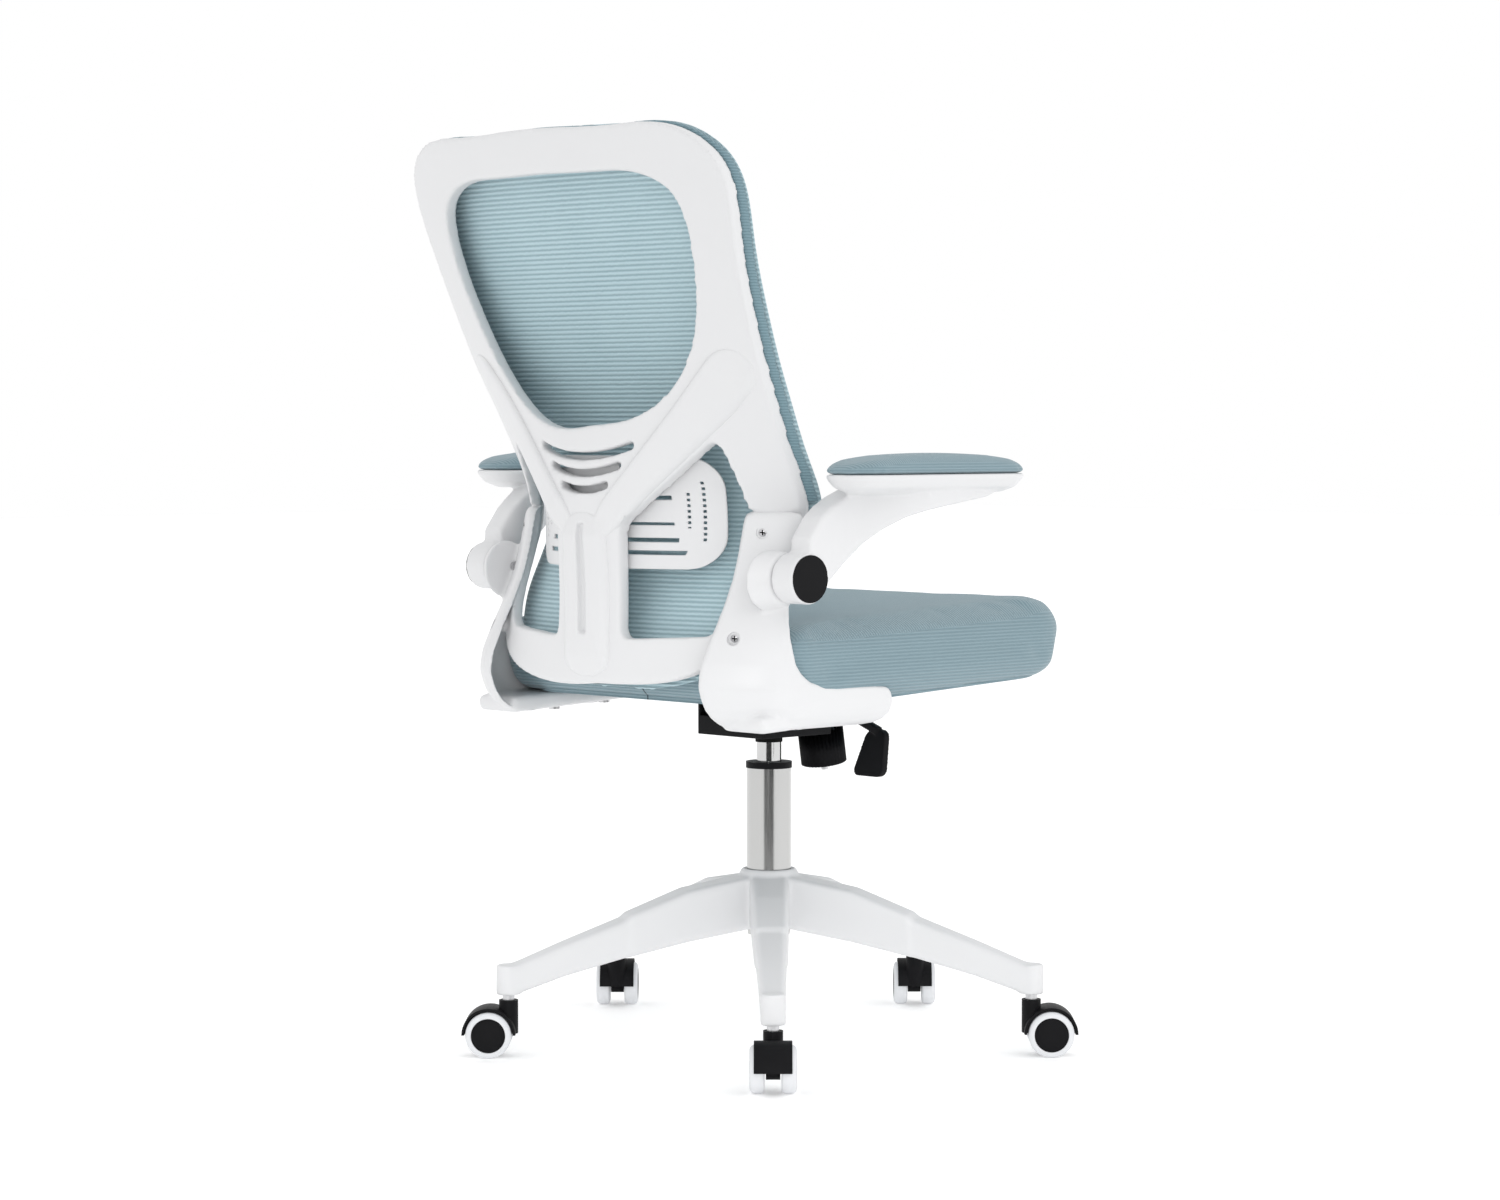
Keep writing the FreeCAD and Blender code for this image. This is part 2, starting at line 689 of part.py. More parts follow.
def lever():
    """Release lever: a steel rod through the housing wall, and the paddle on its outer end."""
    node("lever_rod", lever_cylinder("lever_radius", "-lever_inner", "lever_outer"))
    paddle = doc.addObject("Part::Wedge", "Paddle")
    bind(paddle, Xmin="-paddle_root_width / 2", Xmax="paddle_root_width / 2", Zmin="-paddle_thickness / 2",
         Zmax="paddle_thickness / 2", Ymin="0", Ymax="paddle_length", X2min="-paddle_tip_width / 2",
         X2max="paddle_tip_width / 2", Z2min="-paddle_thickness / 3", Z2max="paddle_thickness / 3")
    paddle.Placement = Placement(Vector(), Rotation(90, 0, -size("paddle_slope")))
    fulcrum = "(housing_half_width - housing_wall / 2)"
    place(paddle, "-lever_outer + 2 * lever_radius", "0", lever_point(f"lever_outer - {fulcrum}")
          + " + lever_radius")
    node("lever_grip", cut(paddle, [lever_cylinder("lever_radius", "-lever_inner", "lever_outer")]))


def rounded_outline(half, front, rear, corner, z):
    """Closed wire of a rectangle with rounded corners, level at a height."""
    low = Vector(-half, -front, z)
    high = Vector(half, rear, z)
    bend = corner * (1 - math.sqrt(0.5))
    edges = []
    for sx, sy, x, y in ((1, 0, low.x, low.y), (0, 1, high.x, low.y), (-1, 0, high.x, high.y),
                         (0, -1, low.x, high.y)):
        far = Vector(x + sx * 2 * half, y + sy * (front + rear), z)
        begin = Vector(x + sx * corner, y + sy * corner, z)
        end = Vector(far.x - sx * corner, far.y - sy * corner, z)
        turn = Vector(end.x - sy * corner + sx * corner, end.y + sx * corner + sy * corner, z)
        middle = Vector(far.x + (-sy - sx) * bend, far.y + (sx - sy) * bend, z)
        edges += [Part.LineSegment(begin, end).toShape(), Part.Arc(end, middle, turn).toShape()]
    return Part.Wire(edges)


def cushion_shape(half, front, rear, corner, levels):
    """Loft through rounded outlines, each given as (how far it is drawn in, height)."""
    wires = [rounded_outline(half - inset, front - inset, rear - inset, corner - inset / 2, z)
             for inset, z in levels]
    return Part.makeLoft(wires, True, False)


def seat_tilt(shape):
    """A shape drawn on the seat board's underside, set at the seat's height and pitch."""
    shape.Placement = Placement(Vector(0, 0, size("seat_level")),
                                Rotation(Vector(-1, 0, 0), size("seat_pitch")))
    return shape


def seat():
    """Board, upholstered cushion wrapped round its edge, and the bolts through the seat plate."""
    half, front, rear = size("seat_half_width"), size("seat_front"), size("seat_rear")
    inset, thick = size("board_inset"), size("board_thickness")
    side, tuck = size("seat_side_height"), size("seat_tuck")
    edge = rounded_outline(half - inset, front - inset, rear - inset, size("seat_corner") - inset, 0)
    board = Part.Face(edge).extrude(Vector(0, 0, thick))
    crown = size("seat_crown")
    foam = cushion_shape(half, front, rear, size("seat_corner"), [
        (tuck + 3, 0), (tuck, size("seat_tuck_height")), (tuck / 4, 0.42 * side), (0, 0.62 * side),
        (tuck / 4, 0.8 * side), (tuck, 0.93 * side), (2.4 * tuck, side), (4.6 * tuck, side + 0.5 * crown),
        (7.4 * tuck, side + 0.85 * crown), (10 * tuck, side + crown)])
    foam = foam.cut(board)
    board_item = solid(seat_tilt(board), "Board")
    bores = bolt_shanks(seat_bolt_places() + foot_bolt_places(), "0", "seat_bolt_length - plate_thickness")
    node("seat_board", cut(board_item, bores))
    node("seat_cushion", solid(seat_tilt(foam), "Cushion"))
    for label, places, top in (("seat_bolts", seat_bolt_places(), "-plate_thickness"),
                               ("bracket_seat_bolts", foot_bolt_places(), "-foot_thickness")):
        heads = [cylinder("seat_bolt_head", "seat_bolt_head_height", x, y, f"{top} - seat_bolt_head_height",
                          frame=SEAT_FRAME) for x, y in places]
        bolts = bolt_shanks(places, top, "seat_bolt_length - plate_thickness")
        node(label, group([fuse(pair) for pair in map(list, zip(heads, bolts))]))


def bracket_arc(z, inset):
    """Points of the bracket's curved face in plan, at a height and a depth under its surface."""
    shift = size("screw_y") - (z - size("screw_low_z")) * size("bracket_lean")
    inner, outer = size("bracket_inner_x"), size("bracket_outer_x")
    turn = math.radians(size("screw_turn"))
    rise = (size("screw_x") - inner) * math.tan(turn)
    ends = (Vector(-inner, shift + rise, z), Vector(-outer, shift - rise * 5, z))
    middle = Vector(-(0.2 * inner + 0.8 * outer) - 1, shift - rise * 2.7, z)
    away = Vector(math.sin(turn), -math.cos(turn), 0) * inset
    side = Vector(inset, -inset * 0.2, 0)
    return ends[0] + away, middle + (away + side) * 0.5, ends[1] + side


def screw_line(z):
    """A back screw's seat on the bracket's face, and the way it goes in."""
    turn = math.radians(size("screw_turn"))
    y = size("screw_y") - (z - size("screw_low_z")) * size("bracket_lean")
    return Vector(-size("screw_x"), y, z), Vector(math.sin(turn), -math.cos(turn), 0)


def screw_shapes(radius, start, end):
    """Cylinders on the two back screws of the right side, between two depths."""
    shapes = []
    for z in (size("screw_low_z"), size("screw_high_z")):
        seat_point, way = screw_line(z)
        shapes.append(Part.makeCylinder(radius, end - start, seat_point + way * start, way))
    return shapes


def boot_shapes():
    """Outer wall of the bracket between its arm boss and its foot, and the curve into the foot."""
    front, top, foot = size("boot_front"), size("boot_top"), size("boot_foot")
    low, outer, bend = size("bracket_bottom"), size("boot_outer_x"), size("boot_bend")
    rear = [(front + 14, low), (front + 30, low + 16), (front + 25, foot + 6), (front + 8, foot + 51)]
    wall = Part.makePolygon([Vector(-outer, y, z) for y, z in
                             [(front, top), (front, low + 2)] + rear + [(front, top)]])
    begin, end = Vector(-outer, front, foot + bend), Vector(-outer, front - bend, foot)
    sag = bend * (1 - math.sqrt(0.5))
    arc = Part.Arc(begin, Vector(-outer, front - sag, foot + sag), end)
    root = [end, Vector(-outer, front - bend, foot - bend / 2), Vector(-outer, front, foot - bend / 2), begin]
    curve = Part.Wire([arc.toShape()] + [Part.LineSegment(a, b).toShape() for a, b in zip(root, root[1:])])
    return [Part.Face(wall).extrude(Vector(outer - size("boot_inner_x"), 0, 0)),
            Part.Face(curve).extrude(Vector(size("boot_wall"), 0, 0))]


def bracket_shape():
    """Right bracket: curved plate behind the back frame, arm boss, and foot under the seat."""
    low, high = size("bracket_bottom"), size("bracket_top")
    outside = bracket_arc(low, 0)
    inside = bracket_arc(low, size("bracket_thickness"))
    plan = Part.Wire([
        Part.Arc(*outside).toShape(), Part.LineSegment(outside[2], inside[2]).toShape(),
        Part.Arc(*reversed(inside)).toShape(), Part.LineSegment(inside[0], outside[0]).toShape()])
    up = Vector(0, -size("bracket_lean"), 1) * (high - low)
    plate = Part.Face(plan).extrude(up)
    corner = size("bracket_corner")
    rear = bracket_arc(low + corner, 0)[0].y - 6
    front = bracket_arc(high, 0)[2].y - 60
    lift = Vector(0, 0, corner)
    heel = Vector(0, rear, low) + lift
    sole = Vector(0, rear - corner, low)
    bow = Vector(0, rear - corner * (1 - math.sqrt(0.5)), low + corner * (1 - math.sqrt(0.5)))
    top = Vector(0, rear, high + corner)
    outline = Part.Wire([
        Part.LineSegment(Vector(0, front, low), sole).toShape(), Part.Arc(sole, bow, heel).toShape(),
        Part.LineSegment(heel, top).toShape(), Part.LineSegment(top, Vector(0, front, top.z)).toShape(),
        Part.LineSegment(Vector(0, front, top.z), Vector(0, front, low)).toShape()])
    plate = plate.common(Part.Face(outline).extrude(Vector(-2 * size("bracket_outer_x"), 0, 0)))
    inner, outer = size("foot_inner_x"), size("foot_outer_x")
    reach = rear - corner / 2 - size("foot_front")
    sole_box = Part.makeBox(outer - inner, reach, size("foot_thickness"),
                            Vector(-outer, size("foot_front"), -size("foot_thickness")))
    lip = Part.makeBox(size("foot_lip"), reach, size("foot_lip_height"),
                       Vector(-outer, size("foot_front"), 0))
    foot = seat_tilt(sole_box.fuse(lip).removeSplitter())
    boss = Part.makeCylinder(size("arm_boss_radius"), size("arm_seam_x") - size("face_gap") - inner_boss_x(),
                             Vector(-inner_boss_x(), size("arm_axis_y"), size("arm_axis_z")),
                             Vector(-1, 0, 0))
    fairing = Part.makeCone(size("fairing_radius"), size("arm_boss_radius"), size("fairing_length"),
                            Vector(size("fairing_length") - size("bracket_outer_x"), size("arm_axis_y"),
                                   size("arm_axis_z")), Vector(-1, 0, 0))
    shape = plate.fuse([foot, boss, fairing] + boot_shapes()).removeSplitter()
    pin = Part.makeCylinder(size("arm_pin_radius"), size("arm_pin_outer_x") - size("arm_pin_inner_x"),
                            Vector(-size("arm_pin_inner_x"), size("arm_axis_y"), size("arm_axis_z")),
                            Vector(-1, 0, 0))
    holes = screw_shapes(size("back_screw_radius"), -20, size("back_screw_length"))
    holes += screw_shapes(size("back_screw_head"), -20, size("back_screw_head_height"))
    return shape.cut([pin] + holes)


def inner_boss_x():
    return size("arm_pin_inner_x") - 2


def section(centre, along, across, tall):
    """Rectangular wire with cut corners, square to a direction in the YZ plane."""
    up = Vector(0, -along.z, along.y)
    wide = Vector(1, 0, 0)
    cornered = min(across, tall) / 4
    corners = []
    for sx, sz in ((1, 1), (-1, 1), (-1, -1), (1, -1)):
        first = (sx * across / 2, sz * (tall / 2 - cornered))
        second = (sx * (across / 2 - cornered), sz * tall / 2)
        corners += [first, second] if sx * sz > 0 else [second, first]
    points = [centre + wide * x + up * z for x, z in corners]
    return Part.makePolygon(points + points[:1])


def arm_shape():
    """Right arm: hinge barrel, bar that sweeps up and out, and the boat-shaped tray."""
    axis = Vector(-size("arm_end_x"), size("arm_axis_y"), size("arm_axis_z"))
    thick = size("arm_thickness")
    barrel = Part.makeCylinder(size("arm_boss_radius"), size("arm_end_x") - size("arm_seam_x"), axis,
                               Vector(1, 0, 0))
    mid_x = -(size("arm_seam_x") + size("arm_end_x")) / 2
    tray_low = size("pad_base_z") - size("tray_depth")
    start = Vector(mid_x, axis.y - 6, axis.z + 8)
    end = Vector(-size("pad_x"), size("pad_y") + 20, tray_low + 2)
    span = end - start
    steps = ((0.0, 0.0, 0.55, 1.5, 0.94), (0.33, 0.42, 0.8, 1.3, 0.94), (0.66, 0.78, 0.3, 1.1, 1.2),
             (1.0, 1.0, 0.1, 0.7, 1.6))
    wires = []
    for run, lift, slope, tall, wide in steps:
        centre = Vector(start.x + span.x * run * run, start.y + span.y * run, start.z + span.z * lift)
        wires.append(section(centre, Vector(0, -1, slope).normalize(), thick * wide, thick * tall))
    bar = Part.makeLoft(wires, True, False)
    tray = tray_shape()
    hole = Part.makeCylinder(size("arm_pin_radius") + size("running_clearance"), size("arm_end_x"), axis,
                             Vector(1, 0, 0))
    shape = barrel.fuse([bar, tray]).removeSplitter()
    cap = Part.makeCylinder(size("arm_cap_radius"), size("arm_cap_thickness"), axis, Vector(1, 0, 0))
    beside = Part.makeBox(size("arm_seam_x"), 4 * size("arm_boss_radius"), 4 * size("arm_boss_radius"),
                          Vector(-size("arm_seam_x"), axis.y - 2 * size("arm_boss_radius"),
                                 axis.z - 2 * size("arm_boss_radius")))
    return shape.cut([hole, cap, beside] + pad_screw_shapes(size("pad_screw_radius")))


def pad_outline(inset, z):
    half = size("pad_width") / 2 - inset
    reach = size("pad_length") / 2 - inset
    wire = rounded_outline(half, reach, reach, half * 0.92, z)
    wire.translate(Vector(-size("pad_x"), size("pad_y"), 0))
    return wire


def tray_shape():
    top = size("pad_base_z")
    depth = size("tray_depth")
    return Part.makeLoft([pad_outline(24, top - depth), pad_outline(9, top - depth * 0.7),
                          pad_outline(1, top - depth * 0.2), pad_outline(1, top)], True, True)


def pad_screw_shapes(radius):
    low = size("pad_base_z") - size("tray_depth")
    return [Part.makeCylinder(radius, size("pad_screw_length") + size("tray_depth"),
                              Vector(-size("pad_x"), size("pad_y") + y, low))
            for y in (-size("pad_screw_spacing") / 2, size("pad_screw_spacing") / 2)]


def sides():
    """Brackets, hinge pins, arms, caps, pads and their screws, on both sides."""
    axis = ("-arm_pin_outer_x", "arm_axis_y", "arm_axis_z")
    top = size("pad_base_z")
    tall = size("pad_height")
    pad = Part.makeLoft([pad_outline(3, top), pad_outline(0, top + tall * 0.3),
                         pad_outline(4, top + tall * 0.7),
                         pad_outline(20, top + tall)], True, False)
    pad = pad.cut(pad_screw_shapes(size("pad_screw_radius")))
    right = {
        "bracket": cut(solid(bracket_shape(), "Bracket"),
                       bolt_shanks(foot_bolt_places(), "-foot_thickness", "0")),
        "hinge_pin": cylinder("arm_pin_radius", "arm_pin_outer_x - arm_pin_inner_x", *axis, axis="X"),
        "arm": solid(arm_shape(), "Arm"),
        "hinge_cap": cylinder("arm_cap_radius", "arm_cap_thickness", "-arm_end_x", *axis[1:], axis="X"),
        "arm_pad": solid(pad, "Pad"),
        "arm_pad_screws": solid(Part.makeCompound(pad_screw_shapes(size("pad_screw_radius"))), "PadScrews"),
    }
    for name, piece in right.items():
        node(name + "_right", piece)
        node(name + "_left", mirrored(piece))


BACK_ROWS = ("foot", "hip", "lumbar", "waist", "rib", "shoulder", "crown")
SURFACE_ROWS = 13


def eased(key, z):
    """A back size at a height, on a smooth curve through the rows that doesn't overshoot them."""
    heights = [size(row + "_z") for row in BACK_ROWS]
    values = [size(f"{row}_{key}") for row in BACK_ROWS]
    steps = [high - low for low, high in zip(heights, heights[1:])]
    slopes = [(high - low) / step for low, high, step in zip(values, values[1:], steps)]
    bends = [2 * a * b / (a + b) if a * b > 0 else 0 for a, b in zip(slopes, slopes[1:])]
    bends = slopes[:1] + bends + slopes[-1:]
    k = max(n for n in range(len(steps)) if n == 0 or heights[n] <= z)
    t = (z - heights[k]) / steps[k]
    return ((1 + 2 * t) * (1 - t) ** 2 * values[k] + t * (1 - t) ** 2 * steps[k] * bends[k]
            + t * t * (3 - 2 * t) * values[k + 1] - t * t * (1 - t) * steps[k] * bends[k + 1])


def back_surface():
    """Smooth curved rear face of the back, through its rows; the middle lies behind the sides."""
    span = 1.1 * max(size(row + "_half") for row in BACK_ROWS)
    low, high = size(BACK_ROWS[0] + "_z"), size(BACK_ROWS[-1] + "_z")
    rows = []
    for n in range(SURFACE_ROWS):
        z = low + (high - low) * n / (SURFACE_ROWS - 1)
        half, side = eased("half", z), eased("side_y", z)
        depth = eased("centre_y", z) - side
        rows.append([Vector(span * k / 4, side + depth * (1 - (span * k / 4 / half) ** 2), z)
                     for k in range(-4, 5)])
    surface = Part.BSplineSurface()
    surface.interpolate(rows)
    return surface


def taut_surface():
    """The mesh's face: the back's face with its middle drawn forward between top and bottom."""
    surface = back_surface()
    low, high = size("back_bottom"), size("back_top")
    for i, row in enumerate(surface.getPoles(), 1):
        for j, pole in enumerate(row, 1):
            height = min(max((pole.z - low) / (high - low), 0), 1)
            half = eased("half", low + (high - low) * height) - size("carrier_width")
            pull = size("mesh_pull") * math.sin(math.pi * height) * max(1 - (pole.x / half) ** 2, 0)
            surface.setPole(i, j, pole - Vector(0, pull, 0))
    return surface


def back_layer(surface, offset, thickness, outline, holes=()):
    """Part of a curved face inside an outline, moved by an offset and thickened to the rear."""
    sheet_face = surface.toShape()
    sheet_face.translate(Vector(0, offset, 0))
    layer = sheet_face.extrude(Vector(0, thickness, 0))
    deep = Vector(0, 1000, 0)
    layer = layer.common(Part.Face(outline).extrude(deep))
    if holes:
        layer = layer.cut([Part.Face(hole).extrude(deep) for hole in holes])
    return layer


def loop(points):
    """Closed smooth wire in the XZ plane."""
    curve = Part.BSplineCurve()
    curve.interpolate([Vector(x, 0, z) for x, z in points], PeriodicFlag=True)
    return Part.Wire(curve.toShape())


def both_sides(half_points):
    """Outline from its half at +X, which starts and ends on the middle plane."""
    return half_points + [(-x, z) for x, z in reversed(half_points[1:-1])]


def back_outline(inset):
    """Outer edge of the back, drawn in by an inset."""
    low, high = size("back_bottom"), size("back_top")
    points = [(0, low + inset), (size("foot_half") * 0.78 - inset * 0.2, low + 14 + inset),
              (size("foot_half") - inset * 0.7, low + 40 + inset * 0.7)]
    points += [(size(row + "_half") - inset, size(row + "_z"))
               for row in ("hip", "lumbar", "waist", "rib", "shoulder")]
    points += [(size("crown_half") - 3 - inset * 0.8, high - 36 - inset * 0.5),
               (size("crown_half") - 38 - inset * 0.4, high - 9 - inset),
               (size("crown_half") / 2, high - 2 - inset), (0, high - inset)]
    return loop(both_sides(points))


def upper_window():
    half, low, high = size("window_half"), size("window_bottom"), size("window_top")
    return loop(both_sides([
        (0, low), (0.4 * half, low + 10), (0.8 * half, low + 70), (0.95 * half, low + 135),
        (half, high - 70), (0.95 * half, high - 27), (0.78 * half, high - 7), (0.4 * half, high - 1),
        (0, high)]))


def lower_window(side):
    """Opening beside the spine: polygon with rounded corners."""
    spine = size("spine_half")
    outer = size("lumbar_half") - 36
    low = size("back_bottom") + 52
    corners = [(spine, low, 10), (outer - 12, low + 6, 24), (outer, size("lumbar_z") - 30, 60),
               (outer - 18, size("waist_z"), 8), (spine, size("lumbar_z") - 15, 20)]
    points = [Vector(side * x, 0, z) for x, z, _ in corners]
    edges, ends = [], []
    for k, (_, _, radius) in enumerate(corners):
        here = points[k]
        back = (points[k - 1] - here).normalize()
        ahead = (points[(k + 1) % len(points)] - here).normalize()
        half = back.getAngle(ahead) / 2
        cut_back = radius / math.tan(half)
        middle = here + (back + ahead).normalize() * (radius / math.sin(half) - radius)
        first, last = here + back * cut_back, here + ahead * cut_back
        edges.append(Part.Arc(first, middle, last).toShape())
        ends.append((first, last))
    lines = [Part.LineSegment(ends[k][1], ends[(k + 1) % len(ends)][0]).toShape() for k in range(len(ends))]
    return Part.Wire([edge for pair in zip(edges, lines) for edge in pair])


def smile_slot(k):
    """One of the three curved slots above the spine."""
    half = size("slot_half") - k * size("slot_step")
    top = size("slot_top") - k * size("slot_pitch")
    sag = size("slot_sag") * half / size("slot_half")
    width = size("slot_width")
    upper = [Vector(-half, 0, top), Vector(0, 0, top - sag), Vector(half, 0, top)]
    lower = [point - Vector(0, 0, width) for point in upper]
    return Part.Wire([Part.Arc(*upper).toShape(), Part.LineSegment(upper[2], lower[2]).toShape(),
                      Part.Arc(*reversed(lower)).toShape(), Part.LineSegment(lower[0], upper[0]).toShape()])


def lumbar_slots():
    """Level slots through both wings of the lumbar pad."""
    inner, outer, tall = size("lumbar_slot_inner"), size("lumbar_slot_outer"), size("lumbar_slot_height")
    slots = []
    for side in (-1, 1):
        for k in (-2, -1, 1, 2):
            z = size("lumbar_z") + k * size("lumbar_pad_height") / 6 - tall / 2
            x = inner if side > 0 else -outer
            slots.append(Part.makeBox(outer - inner, 1000, tall, Vector(x, 0, z)))
    return slots


def backrest():
    """Moulded frame, mesh carrier ring, stretched mesh and the lumbar pad that slides on the spine."""
    thick = size("back_thickness")
    ring = size("carrier_thickness")
    gap = size("lumbar_pad_gap")
    windows = [upper_window(), lower_window(1), lower_window(-1)] + [smile_slot(k) for k in range(3)]
    rear = back_surface()
    frame = back_layer(rear, -thick, thick, back_outline(size("carrier_reveal")), windows)
    bracket = bracket_shape()
    seat_depth = size("back_screw_head_height")
    bosses = [shape.cut(bracket) for shape in
              screw_shapes(size("back_boss_radius"), seat_depth, size("back_screw_length"))]
    frame = frame.cut(bracket).cut(bracket.mirror(Vector(), Vector(1, 0, 0)))
    screws = []
    for seat_shape, shank in zip(screw_shapes(size("back_screw_head"), 0, size("back_screw_head_height")),
                                 screw_shapes(size("back_screw_radius"), 0, size("back_screw_length"))):
        screws.append(seat_shape.fuse(shank).removeSplitter())
    screws += [shape.mirror(Vector(), Vector(1, 0, 0)) for shape in screws]
    bosses += [shape.mirror(Vector(), Vector(1, 0, 0)) for shape in bosses]
    frame = max(frame.fuse(bosses).removeSplitter().cut(screws).Solids, key=lambda part: part.Volume)
    node("back_frame", solid(frame, "BackFrame"))
    node("bracket_back_screws", solid(Part.makeCompound(screws), "BackScrews"))
    carrier = back_layer(rear, -thick - ring, ring, back_outline(0), [back_outline(size("carrier_width"))])
    below = Part.makeBox(1000, 1000, size("carrier_foot"), Vector(-500, 0, 0))
    carrier = carrier.cut(below)
    node("mesh_carrier", solid(carrier, "Carrier"))
    front = -thick - ring - size("mesh_thickness") - size("face_gap")
    mesh = back_layer(taut_surface(), front, size("mesh_thickness"), back_outline(0))
    node("back_mesh", solid(mesh, "Mesh"))
    plate = size("lumbar_pad_thickness")
    half, tall = size("lumbar_pad_half"), size("lumbar_pad_height")
    edge = rounded_outline(half, tall / 2, tall / 2, tall / 4, 0)
    edge.Placement = Placement(Vector(0, 0, size("lumbar_z")), Rotation(Vector(1, 0, 0), 90))
    pad = back_layer(rear, -thick - gap - plate, plate, edge).cut(lumbar_slots())
    slide = size("lumbar_slide_half")
    shoe = rounded_outline(slide, slide, slide, slide / 4, 0)
    shoe.Placement = Placement(Vector(0, 0, size("lumbar_z")), Rotation(Vector(1, 0, 0), 90))
    shoe_solid = back_layer(rear, -thick - gap - plate / 2, gap + plate / 2 - size("lumbar_slide_gap"), shoe)
    node("lumbar_support", solid(pad.fuse(shoe_solid).removeSplitter(), "Lumbar"))


base_star()
casters()
gas_lift()
tilt_housing()
seat_plate()
tension_set()
lever()
seat()
sides()
backrest()
doc.recompute()

for item in doc.Objects:
    if "Invalid" in item.State or "Error" in item.State:
        raise RuntimeError(f"{item.Label} failed: {item.State}")
for item in nodes:
    if item.Shape.isNull() or not item.Shape.isValid():
        raise RuntimeError(f"{item.Label} has no valid shape")
os.makedirs("parts", exist_ok=True)
for item in nodes:
    item.Shape.exportStep(os.path.join("parts", item.Label + ".step"))
    print(item.Label, len(item.Shape.Solids), round(item.Shape.Volume / 1000, 1), "cm3")
print(len(nodes), "sub-parts")
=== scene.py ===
import json
import math
import bmesh
import bpy
import numpy
from mathutils import Matrix, Vector
from mathutils.bvhtree import BVHTree


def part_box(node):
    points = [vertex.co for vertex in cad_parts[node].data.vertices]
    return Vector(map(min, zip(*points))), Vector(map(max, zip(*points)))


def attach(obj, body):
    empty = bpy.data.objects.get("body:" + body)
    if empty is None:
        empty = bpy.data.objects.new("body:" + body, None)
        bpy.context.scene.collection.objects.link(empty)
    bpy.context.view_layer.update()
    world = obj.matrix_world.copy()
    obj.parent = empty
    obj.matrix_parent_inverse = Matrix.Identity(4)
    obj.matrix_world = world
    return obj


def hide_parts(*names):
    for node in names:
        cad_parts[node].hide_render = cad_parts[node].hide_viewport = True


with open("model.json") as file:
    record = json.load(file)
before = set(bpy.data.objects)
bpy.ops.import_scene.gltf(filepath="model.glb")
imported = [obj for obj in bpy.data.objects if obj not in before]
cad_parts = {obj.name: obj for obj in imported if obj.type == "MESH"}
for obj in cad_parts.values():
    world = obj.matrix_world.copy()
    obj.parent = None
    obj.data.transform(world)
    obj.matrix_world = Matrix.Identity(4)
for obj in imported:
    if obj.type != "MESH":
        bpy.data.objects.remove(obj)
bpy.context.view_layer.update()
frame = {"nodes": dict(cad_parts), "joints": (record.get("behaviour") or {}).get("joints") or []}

# Five-leg base: one white moulding, with hollow tapering legs that grow out of a round hub.
# Each leg ends in an upright round socket for its caster's stem.


def moulded(name, colour, roughness, grain, depth, mottle=0.03, shine=0.5):
    """Injection-moulded finish: spark-eroded grain, faint shade changes, uneven gloss."""
    material = bpy.data.materials.new(name)
    material.use_nodes = True
    nodes, links = material.node_tree.nodes, material.node_tree.links
    shader = nodes["Principled BSDF"]
    shader.inputs["Specular IOR Level"].default_value = shine
    place = nodes.new("ShaderNodeTexCoord")
    cloud = nodes.new("ShaderNodeTexNoise")
    cloud.inputs["Scale"].default_value = 14
    cloud.inputs["Detail"].default_value = 4
    shades = nodes.new("ShaderNodeValToRGB")
    shades.color_ramp.elements[0].color = [max(c * (1 - mottle), 0) for c in colour] + [1]
    shades.color_ramp.elements[1].color = [min(c * (1 + mottle), 1) for c in colour] + [1]
    gloss = nodes.new("ShaderNodeMapRange")
    gloss.inputs["To Min"].default_value = roughness - 0.06
    gloss.inputs["To Max"].default_value = roughness + 0.06
    pits = nodes.new("ShaderNodeTexNoise")
    pits.inputs["Scale"].default_value = grain
    pits.inputs["Detail"].default_value = 2
    bump = nodes.new("ShaderNodeBump")
    bump.inputs["Strength"].default_value = 0.5
    bump.inputs["Distance"].default_value = depth
    links.new(place.outputs["Object"], cloud.inputs["Vector"])
    links.new(place.outputs["Object"], pits.inputs["Vector"])
    links.new(cloud.outputs["Fac"], shades.inputs["Fac"])
    links.new(cloud.outputs["Fac"], gloss.inputs["Value"])
    links.new(pits.outputs["Fac"], bump.inputs["Height"])
    links.new(shades.outputs["Color"], shader.inputs["Base Color"])
    links.new(gloss.outputs["Result"], shader.inputs["Roughness"])
    links.new(bump.outputs["Normal"], shader.inputs["Normal"])
    return material


def piece(name, shape, materials, body, nodes=()):
    """New piece from a bmesh: smooth shaded, riding on its body in place of the nodes."""
    mesh = bpy.data.meshes.new(name)
    shape.to_mesh(mesh)
    shape.free()
    for material in materials:
        mesh.materials.append(material)
    mesh.shade_smooth()
    thing = bpy.data.objects.new(name, mesh)
    bpy.context.scene.collection.objects.link(thing)
    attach(thing, body)
    if nodes:
        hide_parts(*nodes)
    return thing


def fillet(thing, voxel, rounds):
    """Melts overlapping solids into one moulding and rounds its inner and outer corners."""
    weld = thing.modifiers.new("Weld", "WELD")
    weld.merge_threshold = 0.00002
    skin = thing.modifiers.new("Skin", "REMESH")
    skin.mode = "VOXEL"
    skin.voxel_size = voxel
    skin.use_smooth_shade = True
    soft = thing.modifiers.new("Soft", "SMOOTH")
    soft.factor = 0.5
    soft.iterations = rounds


white_plastic = moulded("white moulded plastic", (0.70, 0.703, 0.712), 0.40, 1500, 0.00012, 0.012)
leg_start, root_top, root_bottom, root_half, leg_round = 0.012, 0.192, 0.132, 0.022, 0.006
